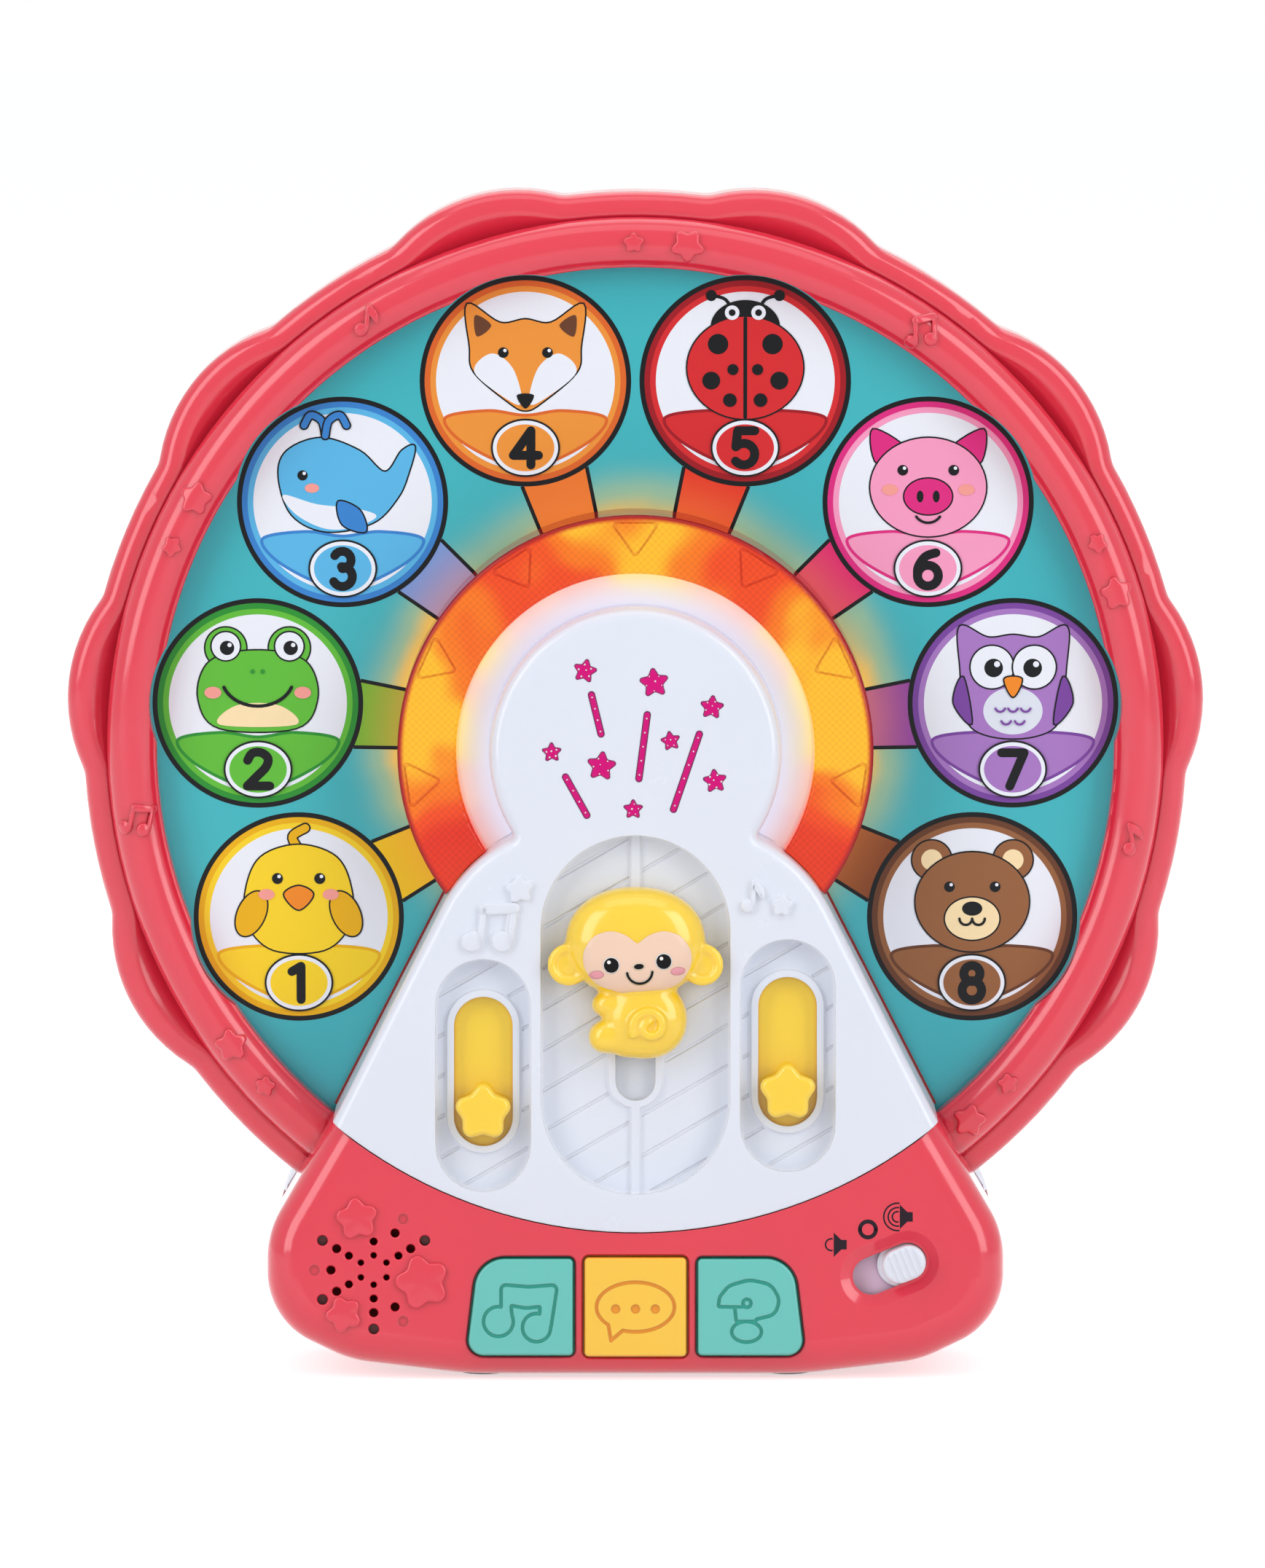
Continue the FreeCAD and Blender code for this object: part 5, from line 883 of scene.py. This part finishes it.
# joins overlapping closed forms in one skin and softens the creases between them
def meltTogether(mesh, grain, passes):
    rough = bpy.data.meshes.new("monkeyRough")
    mesh.to_mesh(rough)
    mesh.free()
    holder = bpy.data.objects.new("monkeyRough", rough)
    bpy.context.scene.collection.objects.link(holder)
    remesh = holder.modifiers.new("skin", "REMESH")
    remesh.mode = "VOXEL"
    remesh.voxel_size = grain
    bpy.context.view_layer.update()
    skin = bpy.data.meshes.new_from_object(holder.evaluated_get(bpy.context.evaluated_depsgraph_get()))
    bpy.data.objects.remove(holder)
    mesh = bmesh.new()
    mesh.from_mesh(skin)
    bpy.data.meshes.remove(skin)
    for _ in range(passes):
        bmesh.ops.smooth_vert(mesh, verts=mesh.verts, factor=0.5, use_axis_x=True, use_axis_y=True,
                              use_axis_z=True)
    return mesh


def makeMonkeyBody():
    look = monkey
    mesh = bmesh.new()
    for part in ("head", "body", "arm", "leg", "seat"):
        addBlob(mesh, look[part])
    for side in (-1, 1):
        addBlob(mesh, ((side * look["earSpread"], look["earDrop"], look["earBack"]), look["earSize"]))
    mesh = meltTogether(mesh, look["grain"], 14)
    for side in (-1, 1):
        spot = (side * look["earSpread"], look["earDrop"])
        rim = [(*polar(look["earRim"], 15 * k, spot), look["earHigh"]) for k in range(24)]
        addRope(mesh, rim, [look["earTube"]] * 24, wrap=True)
    tail, radii = [], []
    steps = 60
    for step in range(steps + 1):
        share = step / steps
        radius = look["tailOuter"] + (look["tailInner"] - look["tailOuter"]) * share
        x, y = polar(radius, look["tailStart"] - 360 * look["tailTurns"] * share, look["tailSpot"])
        tail.append((x, y, blobHeight(look["body"], x, y) + 0.3))
        radii.append(look["tailTube"] * (1 - 0.2 * share) * min(1.0, (steps - step + 0.4) / 3))
    addRope(mesh, tail, radii)
    stem = bmesh.ops.create_cone(mesh, cap_ends=True, segments=48, radius1=look["stem"], radius2=look["stem"],
                                 depth=look["stemLength"])["verts"]
    for vertex in stem:
        vertex.co += Vector((0, look["stemDrop"], look["stemBack"] + look["stemLength"] / 2))
    mesh = meltTogether(mesh, look["grain"] * 0.85, 8)
    for vertex in mesh.verts:
        vertex.co = onFace(*vertex.co)
    piece = finishSkin(mesh, "monkeySkin", [finishes["yellow"]], "monkey")
    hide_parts("monkey_knob")


# the face plate and its features. Each oval: shift, half sizes, turn, height, edge, dome, number of its paint
monkeyFace = {
    "plate": [(0.5, -48.9), (1.5, -48.3), (3.8, -46.7), (7.6, -45.8), (11.8, -47.2), (14.5, -51.2),
              (14.2, -55.8), (11.2, -59.7), (6.0, -61.8)],
    "chin": (0.5, -62.7), "plateLift": 0.32, "plateEdge": 0.25, "plateSink": 1.2, "sink": 0.15,
    "paints": ("creamLine", "eyeBlack", "eyeWhite", "cheekPink"),
    "ovals": [
        ([(-6.3, -54.7), (7.4, -53.7)],
         [((0, 0), (2.25, 2.25), 0, 0.05, 0.03, 0.0, 2), ((0, 0), (1.95, 1.95), 0, 0.1, 0.06, 0.1, 1),
          ((-0.62, 0.8), (0.48, 0.48), 0, 0.24, 0.05, 0.0, 2)]),
        ([(0.9, -55.0)],
         [((0, 0), (1.65, 1.05), 5, 0.05, 0.03, 0.0, 0), ((0, 0), (1.3, 0.72), 5, 0.1, 0.06, 0.15, 1)]),
        ([(-10.2, -57.3), (11.1, -56.3)], [((0, 0), (1.95, 1.1), 5, 0.05, 0.04, 0.0, 3)]),
    ],
    "smile": (1.1, -56.3, 3.3, 188, 358), "smileSquash": 0.98, "smileEdge": 0.04,
    "smileLines": [(1.15, 0.05, 0), (0.66, 0.09, 1)],
}


def onHead(x, y):
    return blobHeight(monkey["head"], x, y)


def onPlate(x, y):
    return onHead(x, y) + monkeyFace["plateLift"]


def makeMonkeyFace():
    look = monkeyFace
    mesh = bmesh.new()
    half, (middle, chin) = look["plate"], look["chin"]
    whole = half + [(middle, chin)] + [(2 * middle - x, y) for x, y in reversed(half[1:])]
    loft(mesh, puffRings(onFace, flowLine(whole, steps=5), onHead, look["plateLift"], look["plateEdge"],
                         sink=look["plateSink"]))
    plate = finishSkin(mesh, "monkeyFacePlate", [finishes["peach"]], "monkey")
    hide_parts("monkey_face")

    mesh = bmesh.new()
    for spots, ovals in look["ovals"]:
        for x, y in spots:
            for (a, b), (across, up), turn, high, edge, dome, index in ovals:
                line = ovalLine(x + a, y + b, across, up, turn)
                loft(mesh, puffRings(onFace, line, onPlate, high, edge, sink=look["sink"], dome=dome), index)
    smile = arcLine(*look["smile"], squash=look["smileSquash"])
    for width, high, index in look["smileLines"]:
        loft(mesh, strokeRings(onFace, smile, width, onPlate, high, look["smileEdge"], sink=look["sink"]),
             index)
    finishSkin(mesh, "monkeyFeatures", [finishes[name] for name in look["paints"]], "monkey")


# small white dots in the dome's stars and rays

domeFigures = {
    "stars": [(-13.2, 22.0, 3.4, 78), (4.9, 18.9, 4.2, 96), (20.0, 12.5, 3.4, 84), (9.2, 3.7, 2.8, 100),
              (-21.9, 0.7, 2.8, 92), (-8.9, -2.9, 4.2, 84), (20.8, -6.8, 3.4, 96), (-0.6, -14.2, 2.8, 90)],
    "rays": [(-11.7, 16.6, -8.8, 4.7, 4), (3.2, 11.4, 0.8, -7.0, 5), (17.0, 6.3, 9.7, -15.0, 6),
             (-18.7, -5.0, -12.3, -16.5, 4)],
    "dot": 0.21, "layer": (-0.35, -0.12),
}


def makeLensDots():
    look = domeFigures
    sheet = Sheet(onFace)
    spots = []
    for number, (x, y, radius, turn) in enumerate(look["stars"]):
        ways = [(0.12, 40)] + [(0.5, turn + 72 * k + 14) for k in range(4 if radius < 3 else 5)]
        for reach, heading in ways:
            size = look["dot"] * (0.75 + 0.2 * ((number + int(heading)) % 3))
            spots.append((*polar(radius * reach, heading + 17 * number, (x, y)), size))
    for x1, y1, x2, y2, count in look["rays"]:
        shares = [(k + 0.5) / count for k in range(count)]
        spots += [(x1 + (x2 - x1) * share, y1 + (y2 - y1) * share, look["dot"]) for share in shares]
    for x, y, size in spots:
        sheet.plate(ovalLine(x, y, size, steps=16), *look["layer"], finishes["eyeWhite"])
    sheet.finish("starLensDots", "housing", "magenta_lens")


# thin lit rings in the gaps beside the halo, so that no dark shows between the lenses
gapRings = {"arc": (-38, 218), "low": 19.0, "outer": (46.2, 47.3, 21.6), "inner": (37.8, 38.9, 22.2)}


def makeGapRings():
    look = gapRings
    sheet = Sheet(onWheel)
    start, end = look["arc"]
    for name in ("outer", "inner"):
        inside, outside, high = look[name]
        line = arcLine(0, 0, outside, start, end, steps=120) + arcLine(0, 0, inside, end, start, steps=120)
        sheet.plate(line, look["low"], high, finishes["haloLens"])
    sheet.finish("haloGapRings", "housing", "halo_lens")


# the print above the volume switch: a quiet horn, a ring and a loud horn
volumePrint = {
    "layer": (-0.1, 0.03), "quiet": (51.95, -128.3), "ring": (60.9, -124.3), "loud": (69.25, -121.0),
    "quietWaves": [1.55], "loudWaves": [1.36, 2.43, 3.6], "waveWidth": 0.42, "ringRadius": 2.08,
    "ringWidth": 1.05, "horn": [(0, 3.2), (2.0, 1.25), (3.4, 1.25), (3.4, -1.25), (2.0, -1.25), (0, -3.2)],
}


def makeVolumePrint():
    look = volumePrint
    low, high = look["layer"]
    sheet = Sheet(onFace)

    def lay(line):
        sheet.plate(line, low, high, ink("print"))

    for name in ("quiet", "loud"):
        x, y = look[name]
        lay([(x + a, y + b) for a, b in look["horn"]])
        for radius in look[name + "Waves"]:
            lay(strokeLine(arcLine(x - 0.6, y, radius, 84, 276), look["waveWidth"]))
    x, y = look["ring"]
    for start in (0, 178):
        lay(strokeLine(arcLine(x, y, look["ringRadius"], start, start + 182, steps=26), look["ringWidth"]))
    sheet.finish("volumePrint", "housing", "printed_panel")


# the rubber domes, which on the toy give way as the keys above them go down; here each is one still lofted skin
rubberDome = {
    "profile": [(5.0, 0.0), (5.0, 0.3), (4.7, 0.8), (4.1, 1.3), (3.4, 1.9), (2.7, 2.4), (2.3, 2.7),
                (2.0, 2.85), (0.3, 2.9)],
    "keep": 0.2,
}


def makeDome(name):
    node = name + "_dome"
    spots = [vertex.co - faceOrigin for vertex in nodes[node].data.vertices]
    sides = zip(*((spot.x, faceUp.dot(spot)) for spot in spots))
    x, y = (1000 * (min(side) + max(side)) / 2 for side in sides)
    low = 1000 * min(faceOut.dot(spot) for spot in spots)
    mesh = bmesh.new()
    loft(mesh, [[onFace(a, b, low + rise) for a, b in ovalLine(x, y, radius, steps=40)]
                for radius, rise in rubberDome["profile"]])
    slotName = nodeSlots[node]
    piece = finishSkin(mesh, name + "DomeRubber", [finishes[slotFinish[slotName]]], "housing")
    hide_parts(node)
    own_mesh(piece)


for name in ("music", "speech", "question"):
    makeDome(name)
makeReliefs()
makeMonkeyBody()
makeMonkeyFace()
makeLensDots()
makeVolumePrint()
makeGapRings()
print("domes, reliefs, monkey, lens dots, volume print and gap rings made")


# the picture panel's print: spokes and eight round badges, each with an animal of plain shapes

panelPrint = {
    "front": 9.0, "layer": 0.02, "badgeRadius": 27.85, "badgeCircle": 100.4, "firstAngle": 207.3,
    "step": -33.51, "outline": 1.3, "frameWidth": 1.5, "animalEdge": 0.42, "animalScale": 1.12,
    "animalRise": 4.6, "tagDrop": -17.6, "tagAcross": 7.6, "tagUp": 6.2, "tagRims": (1.5, 1.0, 0.0),
    "digitWeight": 2.4, "digitScale": 1.1, "spokeInner": 61.0, "spokeOuter": 74.0, "spokeHalfInner": 7.2,
    "spokeHalfOuter": 8.4, "spokeEdge": 1.0, "spokeLifts": (0.012, 0.016), "hillInset": 0.8,
    "hill": [(-21.6, -9.6), (-10, -7.4), (0, -8.6), (10, -7.4), (21.6, -9.6), (16, -17), (0, -23.2),
             (-16, -17)],
}
badgeColours = list(badgeInks)


# each animal is a list of outlines with their ink, and whether a black edge lies under them
def blob(name, points, edged=False, steps=7):
    return [(flowLine(points, steps), name, edged)]


def stroke(name, points, width, edged=False):
    return [(strokeLine(points, width), name, edged)]


# the same oval at each of some places across
def ovals(name, places, y, *size, edged=False):
    return [(ovalLine(x, y, *size), name, edged) for x in places]


def eye(x, y, size):
    return ovals("black", [x], y, size) + ovals("white", [x + 0.4], y + 0.5, 0.4)


def chick():
    tuft = flowLine([(0, 12), (-1.4, 15), (1.6, 17)], closed=False)
    body = [(-12, -6), (-12.5, 2), (-9, 10), (0, 13), (9, 10), (12.5, 2), (12, -6), (6, -12), (-6, -12)]
    wings = [(ovalLine(side * 11.2, -3.4, 3.2, 5.6, side * 24), "yellowDeep", True) for side in (-1, 1)]
    return (stroke("yellowDeep", tuft, 1.9, True) + blob("yellow", body, True) + wings
            + blob("beak", [(-3.4, 1.2), (0, 3.2), (3.4, 1.2), (0, -2.4)], True)
            + ovals("black", (-5, 5), 5, 1.3) + ovals("white", (-4.6, 5.4), 5.5, 0.42)
            + ovals("blush", (-7.6, 7.6), 1.2, 1.9, 1.3))


def frog():
    shapes = ovals("green", (-7.5, 7.5), 9, 4.8, edged=True)
    shapes += blob("green", [(-14, -3), (-12, 5), (-5, 8), (5, 8), (12, 5), (14, -3), (9, -10), (-9, -10)],
                   True)
    for x in (-7.5, 7.5):
        shapes += (ovals("white", [x], 9.4, 3.3, edged=True) + ovals("black", [x + 0.3], 9, 1.7)
                   + ovals("white", [x + 0.9], 9.7, 0.5))
    return (shapes + blob("cream", [(-9, -9.2), (-5, -4.6), (5, -4.6), (9, -9.2)])
            + stroke("black", arcLine(0, 2, 8.5, 200, 340, squash=0.8), 0.8)
            + ovals("blush", (-10.6, 10.6), -1.6, 2, 1.4) + ovals("greenDeep", (-1.2, 1.2), 3.4, 0.5))


def whale():
    body = [(-15, 2), (-13, 8), (-5, 11), (4, 8), (10, 3), (14, 8), (17, 9), (15.6, 3), (13, -3), (7, -9),
            (-4, -11), (-12, -7)]
    belly = [(-14, -2.4), (-6, -4.6), (3, -5.6), (8, -7.4), (3, -10), (-4, -10.4), (-11, -7)]
    shapes = (blob("blue", body, True) + blob("white", belly)
              + blob("blueDeep", [(-1, -4), (4, -6), (5.4, -11), (0, -9.4)], True)
              + eye(-9.4, 2.2, 1.2) + ovals("blush", [-7.2], -0.8, 1.7, 1.1))
    for bend in (-1, 1):
        jet = [(-4, 11.6), (-4 + bend * 0.8, 15), (-4 + bend * 3.4, 16.4), (-4 + bend * 5, 14)]
        shapes += stroke("blueDeep", flowLine(jet, closed=False), 1.5, True)
    return shapes


def fox():
    shapes = blob("orange", [(-13, 4), (-13.6, 14), (-6, 9.6), (0, 10.4), (6, 9.6), (13.6, 14), (13, 4),
                             (12, -2), (4, -9), (0, -11), (-4, -9), (-12, -2)], True, 6)
    for side in (-1, 1):
        ear, cheek = ([(side * x, y) for x, y in half] for half in (
            [(11.4, 6.4), (11.8, 11.4), (8, 9)], [(12, -2), (8, 2.4), (3, -1), (0.8, -9), (4, -8.6)]))
        shapes += blob("brownDeep", ear) + blob("white", cheek) + eye(side * 5.2, 2.6, 1.25)
    return shapes + blob("black", [(-2, -7.4), (2, -7.4), (0, -10.6)])


def ladybird():
    shapes = []
    for side in (-1, 1):
        feeler = flowLine([(side * 2.4, 11), (side * 4.6, 15), (side * 8, 16)], closed=False)
        shapes += stroke("black", feeler, 0.8) + ovals("black", [side * 8], 16, 1.3)
    shapes += (ovals("black", [0], 8.6, 7.8, 6, edged=True) + ovals("red", [0], -1, 13.6, 12, edged=True)
               + stroke("black", [(0, 10.6), (0, -12.6)], 0.9))
    for x, y, radius in ((6.4, 4.6, 2.4), (8, -4, 2.1), (3.6, -8.6, 1.6), (2.9, -1.4, 1.3)):
        shapes += ovals("black", (-x, x), y, radius)
    for x in (-3.1, 3.1):
        shapes += ovals("white", [x], 12, 1.7) + ovals("black", [x], 12, 0.8)
    return shapes


def pig():
    shapes = []
    for side in (-1, 1):
        shapes += blob("pinkDeep", [(side * 5, 8), (side * 13, 13), (side * 12, 5)], True)
    shapes += (ovals("pink", [0], -0.6, 13.6, 11.6, edged=True)
               + ovals("pinkDeep", [0], -2.8, 5.6, 4.2, edged=True)
               + ovals("black", (-1.9, 1.9), -2.8, 0.8, 1.4))
    for x in (-6, 6):
        shapes += eye(x, 3.4, 1.25) + ovals("blush", [x * 1.5], -1.2, 1.9, 1.3)
    return shapes + stroke("black", arcLine(0, -5.6, 3.4, 215, 325), 0.6)


def owl():
    body = [(-11, -8), (-12.4, 4), (-12.6, 14), (-6, 11.4), (0, 12), (6, 11.4), (12.6, 14), (12.4, 4),
            (11, -8), (5, -12), (-5, -12)]
    shapes = blob("purple", body, True) + ovals("softWhite", [0], -6, 7, 5.6)
    for side in (-1, 1):
        shapes += (blob("purpleDeep", [(side * 11.8, 2), (side * 14, -4), (side * 9.8, -9)], True)
                   + ovals("white", [side * 5], 4.4, 5, edged=True) + ovals("black", [side * 4.6], 4.2, 2.2)
                   + ovals("white", [side * 4.6 + 0.8], 5.1, 0.7))
    shapes += blob("beak", [(-2, 1.6), (2, 1.6), (0, -2.6)], True)
    for x, y in ((-3, -5), (0, -5), (3, -5), (-1.6, -8), (1.6, -8)):
        shapes += stroke("purpleDeep", arcLine(x, y, 1.2, 200, 340, steps=8), 0.5)
    return shapes


def bear():
    shapes = []
    for x in (-9.6, 9.6):
        shapes += ovals("brown", [x], 9.4, 4.6, edged=True) + ovals("cream", [x], 9.4, 2.5)
    shapes += (ovals("brown", [0], -0.6, 13.4, 11.8, edged=True)
               + ovals("cream", [0], -4.6, 6.4, 5, edged=True) + ovals("black", [0], -2.2, 2.4, 1.7)
               + eye(-5.4, 3, 1.25) + eye(5.4, 3, 1.25))
    for x in (-1.5, 1.5):
        shapes += stroke("black", arcLine(x, -4.6, 1.5, 180, 360, steps=8), 0.6)
    return shapes


# the strokes of each number
digitStrokes = {
    1: [[(-1.7, 2.7), (0.5, 4.0)], [(0.5, 4.0), (0.5, -4.1)]],
    2: [flowLine([(-2.5, 2.2), (-1.4, 3.9), (0.7, 4.1), (2.4, 2.7), (1.9, 0.6), (-0.3, -1.7), (-2.6, -4.0)],
                 4, False), [(-2.6, -4.0), (2.8, -4.0)]],
    3: [arcLine(-0.1, 2.1, 2.1, 150, -90, steps=14), arcLine(-0.1, -1.9, 2.4, 95, -150, steps=14)],
    4: [[(1.3, 4.1), (1.3, -4.1)], [(1.3, 4.1), (-2.9, -1.8)], [(-2.9, -1.8), (3.1, -1.8)]],
    5: [[(2.3, 4.1), (-1.8, 4.1)], [(-1.8, 4.1), (-2.2, 0.5)], arcLine(-0.3, -1.5, 2.6, 138, -140, steps=16)],
    6: [flowLine([(1.9, 3.8), (-0.6, 2.9), (-2.3, 0.5), (-2.5, -1.7)], 5, False),
        arcLine(0, -1.7, 2.5, 0, 182, steps=14), arcLine(0, -1.7, 2.5, 178, 362, steps=14)],
    7: [[(-2.7, 4.0), (2.7, 4.0)], [(2.7, 4.0), (-0.7, -4.1)]],
    8: [arcLine(0, 2.2, 1.95, 0, 182, steps=12), arcLine(0, 2.2, 1.95, 178, 362, steps=12),
        arcLine(0, -1.9, 2.35, 0, 182, steps=12), arcLine(0, -1.9, 2.35, 178, 362, steps=12)],
}


def makeBadge(number, drawAnimal):
    look = panelPrint
    base = height = look["front"]
    colour = badgeColours[number]
    x, y = polar(look["badgeCircle"], look["firstAngle"] + look["step"] * number)
    sheet = Sheet(onWheel)

    def lay(line, name):
        nonlocal height
        height += look["layer"]
        sheet.plate(line, base, height, ink(name))

    radius = look["badgeRadius"]
    lay(ovalLine(x, y, radius, steps=120), "black")
    for step, name in enumerate((colour + "Deep", colour, "white")):
        lay(ovalLine(x, y, radius - look["outline"] - step * look["frameWidth"], steps=120), name)
    hill = [(x + a, y + b) for a, b in flowLine(look["hill"], steps=9)]
    lay(hill, colour + "Deep")
    lay(growLine(hill, -look["hillInset"]), colour)
    scale, middle = look["animalScale"], y + look["animalRise"]
    for line, name, edged in drawAnimal():
        moved = [(x + a * scale, middle + b * scale) for a, b in line]
        if edged:
            lay(growLine(moved, look["animalEdge"]), "black")
        lay(moved, name)
    scale, middle = look["digitScale"], y + look["tagDrop"]
    for grow, name in zip(look["tagRims"], ("black", "white", colour)):
        lay(ovalLine(x, middle, look["tagAcross"] + grow, look["tagUp"] + grow), name)
    for line in digitStrokes[number + 1]:
        lay(strokeLine([(x + a * scale, middle + b * scale) for a, b in line], look["digitWeight"]), "black")
    sheet.finish("badge" + str(number + 1) + "Print", "housing", "printed_panel")


def makeSpokes():
    look = panelPrint
    sheet = Sheet(onWheel)
    near, far, base = look["spokeInner"], look["spokeOuter"], look["front"]
    for number, colour in enumerate(badgeColours):
        heading = look["firstAngle"] + look["step"] * number
        bands = zip(("black", colour + "Spoke"), (look["spokeEdge"], 0.0), look["spokeLifts"])
        for name, grow, lift in bands:
            inner, outer = look["spokeHalfInner"] + grow, look["spokeHalfOuter"] + grow
            corners = [(near, -inner), (far, -outer), (far, outer), (near, inner)]
            sheet.plate(turnLine(corners, heading), base, base + lift, ink(name, glowing=name != "black"))
    sheet.finish("spokePrint", "housing", "printed_panel")


makeSpokes()
animals = [chick, frog, whale, fox, ladybird, pig, owl, bear]
for number, drawAnimal in enumerate(animals):
    makeBadge(number, drawAnimal)
print("panel print: spokes and", len(animals), "badges")


# stage, light and camera

stage = {"half": 9.0, "corner": 1.0, "colour": 0.86, "glow": 0.62}


# how much a ray looks at the background: camera rays, and the rays that metal and glass send on
def seenDirectly(tree):
    path = tree.nodes.new("ShaderNodeLightPath")
    return doMath(tree, "MAXIMUM", path.outputs["Is Camera Ray"],
                  doMath(tree, "MAXIMUM", path.outputs["Is Glossy Ray"], path.outputs["Is Transmission Ray"]))


def makeStage():
    material, tree, shader = newMaterial("studioPaper", {
        "Base Color": grey(stage["colour"]), "Roughness": 0.9, "Specular IOR Level": 0.1,
        "Emission Strength": stage["glow"]})
    tree.links.new(blendColour(tree, seenDirectly(tree), grey(0.0), grey(1.0)), shader["Emission Color"])
    half, corner = stage["half"], stage["corner"]
    outline = roundLine([(half, half, corner), (-half, half, corner), (-half, -half, corner),
                         (half, -half, corner)])
    mesh = bmesh.new()
    mesh.faces.new([mesh.verts.new((x, y, 0.0)) for x, y in outline])
    data = bpy.data.meshes.new("studioFloor")
    mesh.to_mesh(data)
    mesh.free()
    data.materials.append(material)
    floor = bpy.data.objects.new("studioFloor", data)
    bpy.context.scene.collection.objects.link(floor)


lamps = {
    "softLeft": {"spot": (-1.7, -1.4, 1.15), "size": (1.1, 2.1), "power": 21},
    "softRight": {"spot": (1.7, -1.4, 1.15), "size": (1.1, 2.1), "power": 22},
    "softTop": {"spot": (0.0, -0.5, 2.1), "size": (2.0, 1.0), "power": 6},
    "softBack": {"spot": (0.0, 1.5, 2.5), "size": (3.0, 2.0), "power": 20},
}
lampAim = Vector((0, 0, 0.16))
worldLook = {"level": 0.42, "tint": (0.95, 0.97, 1.0)}


def addLooking(name, data, spot, aim):
    thing = bpy.data.objects.new(name, data)
    thing.location = spot
    thing.rotation_euler = (aim - thing.location).to_track_quat("-Z", "Y").to_euler()
    bpy.context.scene.collection.objects.link(thing)
    return thing


def makeLights():
    for name, look in lamps.items():
        data = bpy.data.lights.new(name, "AREA")
        data.shape = "RECTANGLE"
        data.size, data.size_y = look["size"]
        data.energy = look["power"]
        addLooking(name, data, look["spot"], lampAim)
    world = bpy.data.worlds.new("studioWorld")
    bpy.context.scene.world = world
    world.use_nodes = True
    tree = world.node_tree
    background = tree.nodes["Background"]
    dim = tuple(worldLook["level"] * c for c in worldLook["tint"]) + (1,)
    tree.links.new(blendColour(tree, seenDirectly(tree), dim, grey(1.0)), background.inputs["Color"])
    background.inputs["Strength"].default_value = 1.0


cameraView = {"spot": (-0.00077, -2.4839, 0.4353), "aim": (-0.00077, 0.0, 0.1523), "lens": 216.1,
              "sensor": 36, "reach": 50}


def makeCamera():
    data = bpy.data.cameras.new("photoCamera")
    data.lens = cameraView["lens"]
    data.sensor_width = cameraView["sensor"]
    data.clip_end = cameraView["reach"]
    bpy.context.scene.camera = addLooking("photoCamera", data, cameraView["spot"], Vector(cameraView["aim"]))


makeStage()
makeLights()
makeCamera()
bpy.context.scene.view_settings.view_transform = "Standard"
print("stage, lights and camera ready")
